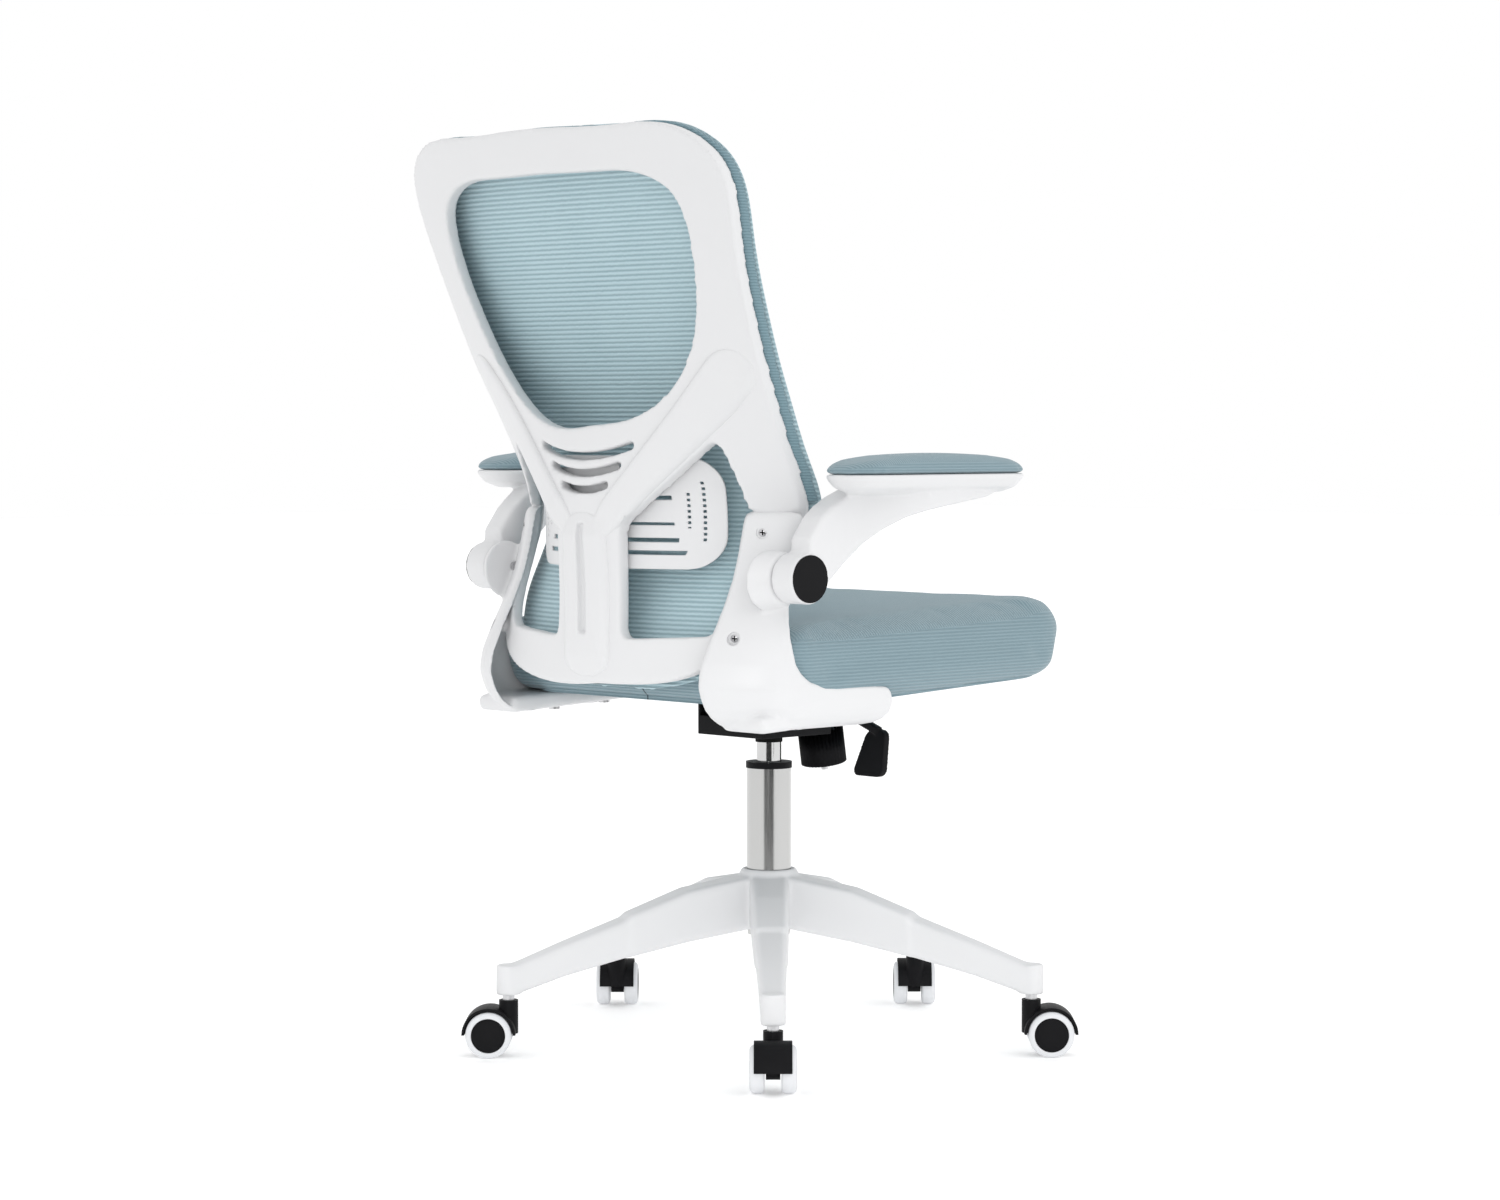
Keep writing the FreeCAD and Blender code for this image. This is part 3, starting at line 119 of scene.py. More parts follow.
# Each station of a leg: reach from the hub's axis, top, bottom and half width.
leg_stations = ((0.10, 0.176, 0.118, 0.0205), (0.166, 0.1515, 0.104, 0.0185), (0.172, 0.1465, 0.103, 0.0170),
                (0.24, 0.1225, 0.086, 0.0148), (0.290, 0.1035, 0.070, 0.0135), (0.302, 0.1, 0.068, 0.0130))
first_reach, socket_reach = leg_stations[0][0], leg_stations[-1][0]
socket_foot, socket_head, socket_tall, socket_middle = 0.0135, 0.0132, 0.033, 0.0845
first_leg, more_legs = math.radians(136.8), 4
base_shape = bmesh.new()
leg = bmesh.ops.create_cube(base_shape, size=1)["verts"]
bmesh.ops.scale(base_shape, vec=(first_reach - leg_start, 2 * root_half, root_top - root_bottom), verts=leg)
bmesh.ops.translate(base_shape, vec=((leg_start + first_reach) / 2, 0, (root_top + root_bottom) / 2),
                    verts=leg)
end = max(base_shape.faces, key=lambda face: face.calc_center_median().x)
for reach, top, bottom, half in leg_stations:
    if reach > first_reach:
        end = bmesh.ops.extrude_discrete_faces(base_shape, faces=[end])["faces"][0]
    for corner in end.verts:
        height = top if corner.co.z > end.calc_center_median().z else bottom
        corner.co = (reach, math.copysign(half, corner.co.y), height)
long_edges = [edge for edge in base_shape.edges
              if abs((edge.verts[0].co - edge.verts[1].co).normalized().x) > 0.5]
bmesh.ops.bevel(base_shape, geom=long_edges, offset=leg_round, affect="EDGES", segments=3, profile=0.5,
                material=-1)
bmesh.ops.create_cone(base_shape, cap_ends=True, segments=36, radius1=socket_foot, radius2=socket_head,
                      depth=socket_tall, matrix=Matrix.Translation((socket_reach, 0, socket_middle)))
bmesh.ops.rotate(base_shape, cent=(0, 0, 0), matrix=Matrix.Rotation(first_leg, 3, "Z"),
                 verts=base_shape.verts)
bmesh.ops.spin(base_shape, geom=base_shape.verts[:] + base_shape.edges[:] + base_shape.faces[:],
               cent=(0, 0, 0), axis=(0, 0, 1), steps=more_legs, angle=math.radians(72 * more_legs),
               use_duplicate=True)
hub_profile = ((0.0262, 0.140), (0.0262, 0.1955), (0.0285, 0.1965), (0.0315, 0.1945), (0.034, 0.186),
               (0.038, 0.170), (0.036, 0.130), (0.0262, 0.130))
ring = [base_shape.verts.new((radius, 0, height)) for radius, height in hub_profile]
rim = [base_shape.edges.new((ring[k], ring[(k + 1) % len(ring)])) for k in range(len(ring))]
bmesh.ops.spin(base_shape, geom=ring + rim, cent=(0, 0, 0), axis=(0, 0, 1), steps=48, angle=2 * math.pi,
               use_merge=True)
bmesh.ops.recalc_face_normals(base_shape, faces=base_shape.faces[:])
base = piece("five_leg_base", base_shape, [white_plastic], "base", ["base_star"])
fillet(base, 0.002, 8)

# Casters: a black nylon hood arched over two wheels, on a plated stem that clips into the leg.
# Each wheel is a pale soft tread ring round a black domed disc, pushed onto the axle.


def dress(node, *materials):
    """Finishes a solid that is shown as it is."""
    thing = frame["nodes"][node]
    thing.data.materials.clear()
    for material in materials:
        thing.data.materials.append(material)
    return thing


def ease(thing, width, segments=3):
    """Small moulding radius along the sharp edges of a solid."""
    weld = thing.modifiers.new("Weld", "WELD")
    weld.merge_threshold = 0.00002
    edge = thing.modifiers.new("Edge", "BEVEL")
    edge.limit_method = "ANGLE"
    edge.angle_limit = math.radians(35)
    edge.width = width
    edge.segments = segments
    edge.harden_normals = True


def plated(name, colour, roughness, streaks):
    """Metal finish with fine drawn lines round the piece and patchy gloss."""
    material = bpy.data.materials.new(name)
    material.use_nodes = True
    nodes, links = material.node_tree.nodes, material.node_tree.links
    shader = nodes["Principled BSDF"]
    shader.inputs["Base Color"].default_value = (*colour, 1)
    shader.inputs["Metallic"].default_value = 1
    place = nodes.new("ShaderNodeTexCoord")
    stretch = nodes.new("ShaderNodeMapping")
    stretch.inputs["Scale"].default_value = streaks
    lines = nodes.new("ShaderNodeTexNoise")
    lines.inputs["Scale"].default_value = 40
    lines.inputs["Detail"].default_value = 6
    gloss = nodes.new("ShaderNodeMapRange")
    gloss.inputs["To Min"].default_value = max(roughness - 0.08, 0.04)
    gloss.inputs["To Max"].default_value = roughness + 0.08
    links.new(place.outputs["Object"], stretch.inputs["Vector"])
    links.new(stretch.outputs["Vector"], lines.inputs["Vector"])
    links.new(lines.outputs["Fac"], gloss.inputs["Value"])
    links.new(gloss.outputs["Result"], shader.inputs["Roughness"])
    return material


black_plastic = moulded("black moulded nylon", (0.006, 0.006, 0.007), 0.50, 1800, 0.0002, 0.25, 0.1)
pale_tread = moulded("pale soft tread", (0.70, 0.71, 0.73), 0.50, 900, 0.0001, 0.03)
zinc_plate = plated("zinc plated steel", (0.62, 0.62, 0.63), 0.32, (3, 3, 3))
wheel_profile = ((-0.0080, 0.0040), (-0.0080, 0.0222), (-0.0072, 0.0240), (-0.0052, 0.0252), (0.0030, 0.0252),
                 (0.0058, 0.0243), (0.0074, 0.0222), (0.0079, 0.0196), (0.0076, 0.0190), (0.0066, 0.0188),
                 (0.0068, 0.0183), (0.0076, 0.0176), (0.0080, 0.0120), (0.0081, 0.0060), (0.0081, 0.0))
tread_inner = 0.0187
joints = {joint["name"]: joint for joint in frame["joints"]}
for number in range(1, 6):
    caster = f"caster_{number}"
    ease(dress(caster + "_hood", black_plastic), 0.0016)
    dress(caster + "_pins", zinc_plate)
    for side in "ab":
        wheel_node = f"{caster}_wheel_{side}"
        low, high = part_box(wheel_node)
        centre = (Vector(low) + Vector(high)) / 2
        axle = Vector(joints[f"{caster}_roll_{side}"]["axis"])
        hub = Vector(joints[f"{caster}_roll_{side}"]["pos_m"])
        outward = axle * math.copysign(1, (centre - hub).dot(axle))
        wheel_shape = bmesh.new()
        line = [wheel_shape.verts.new((across, 0, radius)) for across, radius in wheel_profile]
        steps = [wheel_shape.edges.new(pair) for pair in zip(line, line[1:])]
        bmesh.ops.spin(wheel_shape, geom=line + steps, cent=(0, 0, 0), axis=(1, 0, 0), steps=56,
                       angle=2 * math.pi, use_merge=True)
        bmesh.ops.remove_doubles(wheel_shape, verts=wheel_shape.verts[:], dist=0.00001)
        bmesh.ops.recalc_face_normals(wheel_shape, faces=wheel_shape.faces[:])
        for face in wheel_shape.faces:
            middle = face.calc_center_median()
            face.material_index = int(math.hypot(middle.y, middle.z) < tread_inner and middle.x > 0)
        aim = outward.to_track_quat("X", "Z").to_matrix().to_4x4()
        bmesh.ops.transform(wheel_shape, matrix=Matrix.Translation(centre) @ aim, verts=wheel_shape.verts)
        piece(wheel_node + "_tyre", wheel_shape, [pale_tread, black_plastic], wheel_node, [wheel_node])

# Gas lift: a brushed chromed outer tube pressed into the base, a slim cylinder that slides in it
# through a black guide bush, and a rubber bumper under the mechanism.
brushed_chrome = plated("brushed chromed tube", (0.52, 0.52, 0.515), 0.20, (30, 30, 0.6))
polished_chrome = plated("polished cylinder", (0.58, 0.58, 0.58), 0.12, (2, 2, 8))
rubber = moulded("black rubber", (0.008, 0.008, 0.008), 0.7, 700, 0.0003, 0.2, 0.1)
dress("lift_outer_tube", brushed_chrome)
dress("lift_guide_bush", black_plastic)
dress("lift_cylinder", polished_chrome)
dress("lift_piston_rod", polished_chrome)
for fitting in ("rod_clip", "thrust_bearing", "release_pin"):
    dress(fitting, zinc_plate)
dress("lift_bumper", rubber)

# Tilt mechanism: black powder-coated steel pressings with a pivot pin and a coil spring.
# The spring's preload is set by a ribbed black knob; a bent rod with a flat paddle lifts the valve.
powder_coat = moulded("black powder coat", (0.008, 0.008, 0.009), 0.55, 2600, 0.0004, 0.2, 0.12)
for pressing in ("tilt_housing", "seat_plate"):
    ease(dress(pressing, powder_coat), 0.0008)
for bar in ("tension_spring", "lever_rod"):
    dress(bar, powder_coat)
for fitting in ("tilt_pivot_pin", "tension_bolt"):
    dress(fitting, zinc_plate)
knob_ribs, knob_radius, knob_half, rib_valley = 36, 0.026, 0.020, 0.945
knob_middle, knob_lean, knob_hollow = (0, -0.084, 0.329), math.radians(-9), 0.030
knob_shape = bmesh.new()
bmesh.ops.create_cone(knob_shape, cap_ends=True, segments=2 * knob_ribs, radius1=knob_radius,
                      radius2=knob_radius, depth=2 * knob_half)
for corner in knob_shape.verts:
    step = round(math.atan2(corner.co.y, corner.co.x) / math.pi * knob_ribs)
    if step % 2:
        corner.co.x *= rib_valley
        corner.co.y *= rib_valley
lower_face = min(knob_shape.faces, key=lambda face: face.calc_center_median().z)
upper_face = max(knob_shape.faces, key=lambda face: face.calc_center_median().z)
bmesh.ops.inset_region(knob_shape, faces=[lower_face], thickness=0.003, depth=0.0015)
bmesh.ops.inset_region(knob_shape, faces=[upper_face], thickness=0.004, depth=0)
bmesh.ops.translate(knob_shape, vec=(0, 0, -knob_hollow), verts=upper_face.verts)
knob_place = Matrix.Translation(knob_middle) @ Matrix.Rotation(knob_lean, 4, "X")
bmesh.ops.transform(knob_shape, matrix=knob_place, verts=knob_shape.verts)
bmesh.ops.bevel(knob_shape, geom=lower_face.edges[:], offset=0.001, affect="EDGES", segments=2, profile=0.5,
                material=-1)
piece("tension_knob_ribbed", knob_shape, [black_plastic], "knob", ["tension_knob"])
paddle_across, paddle_thick, paddle_round = -0.162, 0.009, 0.009
# The paddle's lower and upper edge: width, place from front to rear, height.
paddle_foot, paddle_head = (0.046, 0.005, 0.3105), (0.027, -0.010, 0.3605)
neck_size, neck_middle, neck_lean = (0.034, 0.0085, 0.0085), (-0.1500, -0.006, 0.3650), math.radians(-20)
paddle_shape = bmesh.new()
bmesh.ops.create_cube(paddle_shape, size=1)
for corner in paddle_shape.verts:
    width, along, height = paddle_foot if corner.co.z < 0 else paddle_head
    corner.co = (paddle_across + corner.co.x * width, along + corner.co.y * paddle_thick, height)
corner_edges = [edge for edge in paddle_shape.edges
                if abs(edge.verts[0].co.y - edge.verts[1].co.y) > 0.9 * paddle_thick
                and abs(edge.verts[0].co.z - edge.verts[1].co.z) < 0.002]
bmesh.ops.bevel(paddle_shape, geom=corner_edges, offset=paddle_round, affect="EDGES", segments=5, profile=0.5,
                material=-1)
neck = bmesh.ops.create_cube(paddle_shape, size=1)["verts"]
bmesh.ops.scale(paddle_shape, vec=neck_size, verts=neck)
bmesh.ops.rotate(paddle_shape, cent=(0, 0, 0), matrix=Matrix.Rotation(neck_lean, 3, "Y"), verts=neck)
bmesh.ops.translate(paddle_shape, vec=neck_middle, verts=neck)
paddle = piece("lever_paddle", paddle_shape, [black_plastic], "lever", ["lever_grip"])
fillet(paddle, 0.0010, 6)

# Seat: a board under a moulded foam pad. Ribbed blue-grey fabric covers both: it is drawn round the
# board's edge and stapled below, with one upright seam at the middle of the rear face.


def ribbed_cloth(name, thread, shadow, pitch, depth, seam=False):
    """Woven cloth with raised cross ribs; ribs lie level on the sides and run across the top."""
    material = bpy.data.materials.new(name)
    material.use_nodes = True
    nodes, links = material.node_tree.nodes, material.node_tree.links
    shader = nodes["Principled BSDF"]
    shader.inputs["Roughness"].default_value = 0.86
    shader.inputs["Sheen Weight"].default_value = 0.25
    shader.inputs["Sheen Roughness"].default_value = 0.5
    shader.inputs["Specular IOR Level"].default_value = 0.25
    place = nodes.new("ShaderNodeTexCoord")
    lie = nodes.new("ShaderNodeNewGeometry")
    facing = nodes.new("ShaderNodeSeparateXYZ")
    on_top = nodes.new("ShaderNodeMath")
    on_top.operation = "GREATER_THAN"
    on_top.inputs[1].default_value = 0.62
    bands = []
    for direction in ("Z", "Y"):
        wave = nodes.new("ShaderNodeTexWave")
        wave.bands_direction = direction
        wave.inputs["Scale"].default_value = 0.314 / pitch
        wave.inputs["Distortion"].default_value = 0.6
        wave.inputs["Detail"].default_value = 2
        wave.inputs["Detail Scale"].default_value = 3
        links.new(place.outputs["Object"], wave.inputs["Vector"])
        bands.append(wave)
    rib = nodes.new("ShaderNodeMix")
    weave = nodes.new("ShaderNodeTexNoise")
    weave.inputs["Scale"].default_value = 900
    weave.inputs["Detail"].default_value = 3
    cloud = nodes.new("ShaderNodeTexNoise")
    cloud.inputs["Scale"].default_value = 9
    cloud.inputs["Detail"].default_value = 5
    fade = nodes.new("ShaderNodeMapRange")
    fade.inputs["To Min"].default_value = 0.33
    fade.inputs["To Max"].default_value = 0.55
    relief = nodes.new("ShaderNodeMath")
    relief.operation = "MULTIPLY_ADD"
    relief.inputs[1].default_value = 0.35
    tone = nodes.new("ShaderNodeMath")
    tone.operation = "MULTIPLY_ADD"
    tone.inputs[1].default_value = 0.45
    shades = nodes.new("ShaderNodeValToRGB")
    shades.color_ramp.elements[0].position = 0.15
    shades.color_ramp.elements[0].color = (*shadow, 1)
    shades.color_ramp.elements[1].position = 0.85
    shades.color_ramp.elements[1].color = (*thread, 1)
    bump = nodes.new("ShaderNodeBump")
    bump.inputs["Strength"].default_value = 0.9
    bump.inputs["Distance"].default_value = depth
    links.new(lie.outputs["Normal"], facing.inputs["Vector"])
    links.new(facing.outputs["Z"], on_top.inputs[0])
    links.new(on_top.outputs["Value"], rib.inputs["Factor"])
    links.new(bands[0].outputs["Fac"], rib.inputs["A"])
    links.new(bands[1].outputs["Fac"], rib.inputs["B"])
    links.new(place.outputs["Object"], weave.inputs["Vector"])
    links.new(place.outputs["Object"], cloud.inputs["Vector"])
    links.new(weave.outputs["Fac"], relief.inputs[0])
    links.new(rib.outputs["Result"], relief.inputs[2])
    links.new(rib.outputs["Result"], tone.inputs[0])
    links.new(cloud.outputs["Fac"], fade.inputs["Value"])
    links.new(fade.outputs["Result"], tone.inputs[2])
    links.new(relief.outputs["Value"], bump.inputs["Height"])
    links.new(tone.outputs["Value"], shades.inputs["Fac"])
    links.new(shades.outputs["Color"], shader.inputs["Base Color"])
    links.new(bump.outputs["Normal"], shader.inputs["Normal"])
    if seam:
        where = nodes.new("ShaderNodeSeparateXYZ")
        off = nodes.new("ShaderNodeMath")
        off.operation = "ABSOLUTE"
        near = nodes.new("ShaderNodeMath")
        near.operation = "LESS_THAN"
        near.inputs[1].default_value = 0.0011
        rear = nodes.new("ShaderNodeMath")
        rear.operation = "GREATER_THAN"
        rear.inputs[1].default_value = 0.17
        both = nodes.new("ShaderNodeMath")
        both.operation = "MULTIPLY"
        stitch = nodes.new("ShaderNodeMix")
        stitch.data_type = "RGBA"
        stitch.inputs["B"].default_value = (*[c * 0.3 for c in shadow], 1)
        links.new(place.outputs["Object"], where.inputs["Vector"])
        links.new(where.outputs["X"], off.inputs[0])
        links.new(off.outputs["Value"], near.inputs[0])
        links.new(where.outputs["Y"], rear.inputs[0])
        links.new(near.outputs["Value"], both.inputs[0])
        links.new(rear.outputs["Value"], both.inputs[1])
        links.new(both.outputs["Value"], stitch.inputs["Factor"])
        links.new(shades.outputs["Color"], stitch.inputs["A"])
        links.new(stitch.outputs["Result"], shader.inputs["Base Color"])
    return material


def stuffed(name, shape, node, material, body, voxel, cap, held_below):
    """Foam pad under cloth: the shape swells under pressure, held at its underside."""
    pad = piece(name, shape, [material], body, [node])
    bpy.context.view_layer.objects.active = pad
    mesher = pad.modifiers.new("Voxels", "REMESH")
    mesher.mode = "VOXEL"
    mesher.voxel_size = voxel
    mesher.use_smooth_shade = True
    with bpy.context.temp_override(object=pad, active_object=pad):
        bpy.ops.object.modifier_apply(modifier="Voxels")
    start = [corner.co.copy() for corner in pad.data.vertices]
    held = pad.vertex_groups.new(name="held")
    held.add([k for k, point in enumerate(start) if held_below(point)], 1.0, "REPLACE")
    cloth = pad.modifiers.new("Stuffing", "CLOTH")
    cloth.settings.use_pressure = True
    cloth.settings.uniform_pressure_force = 4
    cloth.settings.vertex_group_mass = "held"
    cloth.settings.effector_weights.gravity = 0
    cloth.settings.quality = 4
    cloth.settings.tension_stiffness = 25
    cloth.settings.bending_stiffness = 2
    cloth.point_cache.frame_start = 1
    cloth.point_cache.frame_end = 20
    for moment in range(1, 21):
        bpy.context.scene.frame_set(moment)
    swollen = pad.evaluated_get(bpy.context.evaluated_depsgraph_get()).to_mesh()
    moved = [corner.co.copy() for corner in swollen.vertices]
    pad.modifiers.remove(cloth)
    bpy.context.scene.frame_set(1)
    for corner, old, new in zip(pad.data.vertices, start, moved):
        shift = new - old
        if shift.length > cap:
            shift *= cap / shift.length
        corner.co = old + shift
    smooth = pad.modifiers.new("Foam", "SMOOTH")
    smooth.factor = 0.5
    smooth.iterations = 4
    finer = pad.modifiers.new("Cover", "SUBSURF")
    finer.levels = 1
    finer.render_levels = 1
    return pad


seat_thread, seat_shadow = (0.240, 0.335, 0.375), (0.135, 0.205, 0.240)
seat_cloth = ribbed_cloth("ribbed seat cloth", seat_thread, seat_shadow, 0.0036, 0.0006, True)
dress("seat_board", seat_cloth)
for fitting in ("seat_bolts", "bracket_seat_bolts"):
    dress(fitting, zinc_plate)
seat_half, seat_front, seat_rear, seat_tall = 0.2445, -0.2575, 0.2005, 0.080
front_corner, rear_corner, upper_rim, lower_rim = 0.058, 0.034, 0.024, 0.013
seat_tuck, tuck_tall, tuck_levels, board_gap = 0.016, 0.048, (0.030, 0.046), 0.0004
seat_lean, seat_height, seat_slope, held_height = math.radians(-2.7), 0.403, 0.0472, 0.4200
seat_shape = bmesh.new()
block = bmesh.ops.create_cube(seat_shape, size=1)["verts"]
bmesh.ops.scale(seat_shape, vec=(2 * seat_half, seat_rear - seat_front, seat_tall), verts=block)
bmesh.ops.translate(seat_shape, vec=(0, (seat_front + seat_rear) / 2, seat_tall / 2 + board_gap),
                    verts=block)
for at_rear, radius in ((False, front_corner), (True, rear_corner)):
    posts = [edge for edge in seat_shape.edges if abs(edge.verts[0].co.z - edge.verts[1].co.z) > 0.05
             and (edge.verts[0].co.y > 0) == at_rear]
    bmesh.ops.bevel(seat_shape, geom=posts, offset=radius, affect="EDGES", segments=8, profile=0.5,
                    material=-1)
for height, radius in ((seat_tall, upper_rim), (0, lower_rim)):
    rim = [edge for edge in seat_shape.edges if all(abs(end.co.z - height) < 0.002 for end in edge.verts)]
    bmesh.ops.bevel(seat_shape, geom=rim, offset=radius, affect="EDGES", segments=6, profile=0.5, material=-1)
for level in tuck_levels:
    bmesh.ops.bisect_plane(seat_shape, geom=seat_shape.verts[:] + seat_shape.edges[:] + seat_shape.faces[:],
                           plane_co=(0, 0, level), plane_no=(0, 0, 1))
for corner in seat_shape.verts:
    drawn = seat_tuck * max(1 - corner.co.z / tuck_tall, 0) ** 1.5
    corner.co.x *= 1 - drawn / seat_half
    corner.co.y *= 1 - drawn / seat_rear
bmesh.ops.rotate(seat_shape, cent=(0, 0, 0), matrix=Matrix.Rotation(seat_lean, 3, "X"),
                 verts=seat_shape.verts)
bmesh.ops.translate(seat_shape, vec=(0, 0, seat_height), verts=seat_shape.verts)
stuffed("seat_pad", seat_shape, "seat_cushion", seat_cloth, "seat", 0.006, 0.008,
        lambda point: point.z + seat_slope * point.y < held_height)

# Side brackets: white mouldings that join seat and back. Each wraps the back's edge, takes two screws in
# recessed holes, carries the arm's hinge barrel, and turns under the seat into a bolted foot.
# Each row of a bracket's wall: height, rear edge, front edge and reach outwards.
wall_rows = (
    (0.3735, 0.206, 0.075, 0.214), (0.376, 0.226, 0.062, 0.224), (0.380, 0.240, 0.055, 0.231),
    (0.387, 0.251, 0.049, 0.2355), (0.397, 0.260, 0.047, 0.2385), (0.408, 0.2655, 0.049, 0.239),
    (0.4135, 0.267, 0.054, 0.239), (0.4155, 0.268, 0.062, 0.239), (0.4165, 0.268, 0.095, 0.239),
    (0.4175, 0.2685, 0.133, 0.239), (0.4195, 0.269, 0.152, 0.239), (0.425, 0.269, 0.171, 0.2385),
    (0.434, 0.2675, 0.183, 0.238), (0.444, 0.265, 0.190, 0.2375), (0.470, 0.252, 0.194, 0.236),
    (0.485, 0.243, 0.192, 0.234), (0.505, 0.232, 0.188, 0.232), (0.531, 0.220, 0.180, 0.230),
    (0.557, 0.212, 0.172, 0.229), (0.585, 0.2055, 0.163, 0.229), (0.595, 0.203, 0.161, 0.229),
    (0.600, 0.199, 0.164, 0.229), (0.603, 0.190, 0.172, 0.229))
wall_inner, wall_turn, wall_sweep, wall_thick = 0.175, math.radians(30), 0.036, (0.0085, -0.005, 0)
foot_size, foot_middle, foot_round = (0.064, 0.176, 0.018), (-0.199, 0.145, -0.0105), 0.006
boss_head, boss_root, boss_long, boss_middle, boss_shear = 0.0268, 0.0325, 0.0205, -0.2201, (0, 0.010, -0.003)
recess_mouth, recess_floor, recess_long, recess_middle = 0.0085, 0.0066, 0.026, -0.0078
screw_places = ((-0.1945, 0.2396, 0.471), (-0.1945, 0.1995, 0.5801))
screw_way = Vector((math.sin(wall_turn), -math.cos(wall_turn), 0))


def wall_point(height, rear, front, out, share):
    """Point of the bracket's face: from the rear edge, round the corner and along the outer side."""
    bend = rear - (out - wall_inner) * math.tan(wall_turn)
    edge, knee = Vector((-wall_inner, rear, height)), Vector((-out, bend, height))
    flat = Vector((-out, bend - wall_sweep, height))
    path = [edge.lerp(knee, k / 16).lerp(knee.lerp(flat, k / 16), k / 16) for k in range(17)]
    path.append(Vector((-out, min(front, bend - wall_sweep) - 0.001, height)))
    kept = [point for point in path if point.y > front]
    last, beyond = kept[-1], path[len(kept)]
    path = kept + [last.lerp(beyond, (last.y - front) / (last.y - beyond.y))]
    lengths = [(b - a).length for a, b in zip(path, path[1:])]
    left = share * sum(lengths)
    for start, end, length in zip(path, path[1:], lengths):
        if left <= length:
            return start.lerp(end, left / length)
        left -= length
    return path[-1]


def back_screw(shape, seat, way):
    """Pan-head screw lying in its recess. The cross on its head is black: painted shade standing in for the
    shaded cross recess.
    """
    aim = Matrix.Translation(seat) @ way.to_track_quat("Z", "Y").to_matrix().to_4x4()
    head_middle, shank_middle, shade_cross_middle = 0.0062, 0.0137, 0.0050
    shade_cross_long, shade_cross_wide, shade_cross_deep = 0.0058, 0.0013, 0.0004
    bmesh.ops.create_cone(shape, cap_ends=True, segments=28, radius1=0.0042, radius2=0.0054, depth=0.0026,
                          matrix=aim @ Matrix.Translation((0, 0, head_middle)))
    bmesh.ops.create_cone(shape, cap_ends=True, segments=20, radius1=0.003, radius2=0.003, depth=0.0125,
                          matrix=aim @ Matrix.Translation((0, 0, shank_middle)))
    # Painted shade: the cross is a thin black solid laid on the head's face, standing in for the dark cross
    # recess.
    old = set(shape.faces)
    for length, width in ((shade_cross_long, shade_cross_wide), (shade_cross_wide, shade_cross_long)):
        bar = Matrix.Translation((0, 0, shade_cross_middle)) @ Matrix.Diagonal((length, width, shade_cross_deep, 1))
        bmesh.ops.create_cube(shape, size=1, matrix=aim @ bar)
    for face in set(shape.faces) - old:
        face.material_index = 1


screw_shape = bmesh.new()
for side, hand in (("right", 1), ("left", -1)):
    flip = Matrix.Diagonal((hand, 1, 1))
    hinge = Vector(joints["arm_flip_" + side]["pos_m"])
    wall_shape = bmesh.new()
    grid = bmesh.ops.create_grid(wall_shape, x_segments=36, y_segments=len(wall_rows) - 1, size=0.5)["verts"]
    for corner in grid:
        row = wall_rows[round((corner.co.y + 0.5) * (len(wall_rows) - 1))]
        corner.co = wall_point(*row, corner.co.x + 0.5)
    inner = bmesh.ops.extrude_face_region(wall_shape, geom=wall_shape.faces[:])["geom"]
    bmesh.ops.translate(wall_shape, vec=wall_thick,
                        verts=[item for item in inner if isinstance(item, bmesh.types.BMVert)])
    foot = bmesh.ops.create_cube(wall_shape, size=1)["verts"]
    bmesh.ops.scale(wall_shape, vec=foot_size, verts=foot)
    foot_edges = list({edge for corner in foot for edge in corner.link_edges})
    bmesh.ops.bevel(wall_shape, geom=foot_edges, offset=foot_round, affect="EDGES", segments=3, profile=0.5,
                    material=-1)
    sole = [corner for corner in wall_shape.verts if corner.co.z < 0.1]
    bmesh.ops.translate(wall_shape, vec=foot_middle, verts=sole)
    bmesh.ops.rotate(wall_shape, cent=(0, 0, 0), matrix=Matrix.Rotation(seat_lean, 3, "X"), verts=sole)
    bmesh.ops.translate(wall_shape, vec=(0, 0, seat_height), verts=sole)
    boss_place = Matrix.Translation((boss_middle, hinge.y, hinge.z)) @ Matrix.Rotation(math.pi / 2, 4, "Y")
    boss = bmesh.ops.create_cone(wall_shape, cap_ends=True, segments=56, radius1=boss_head, radius2=boss_root,
                                 depth=boss_long, matrix=boss_place)["verts"]
    bmesh.ops.translate(wall_shape, vec=boss_shear,
                        verts=[corner for corner in boss if corner.co.x > boss_middle])
    bmesh.ops.transform(wall_shape, matrix=flip.to_4x4(), verts=wall_shape.verts)
    bmesh.ops.recalc_face_normals(wall_shape, faces=wall_shape.faces[:])
    bracket = piece("bracket_moulding_" + side, wall_shape, [white_plastic], "seat", ["bracket_" + side])
    fillet(bracket, 0.0018, 16)
    recess_shape = bmesh.new()
    for place in screw_places:
        seat, way = flip @ Vector(place), flip @ screw_way
        aim = Matrix.Translation(seat) @ way.to_track_quat("Z", "Y").to_matrix().to_4x4()
        bmesh.ops.create_cone(recess_shape, cap_ends=True, segments=36, radius1=recess_mouth,
                              radius2=recess_floor, depth=recess_long,
                              matrix=aim @ Matrix.Translation((0, 0, recess_middle)))
        back_screw(screw_shape, seat, way)
    recess_mesh = bpy.data.meshes.new("recess")
    recess_shape.to_mesh(recess_mesh)
    recess_shape.free()
    recess = bpy.data.objects.new("recess", recess_mesh)
    bpy.context.scene.collection.objects.link(recess)
    hole = bracket.modifiers.new("Hole", "BOOLEAN")
    hole.object = recess
    with bpy.context.temp_override(object=bracket, active_object=bracket):
        for finish in ("Weld", "Skin", "Soft", "Hole"):
            bpy.ops.object.modifier_apply(modifier=finish)
    bpy.data.objects.remove(recess)
    dress("hinge_pin_" + side, zinc_plate)
bmesh.ops.recalc_face_normals(screw_shape, faces=screw_shape.faces[:])
# The black second material is painted shade in the screws' cross recesses.
piece("back_screw_set", screw_shape, [zinc_plate, black_plastic], "seat", ["bracket_back_screws"])

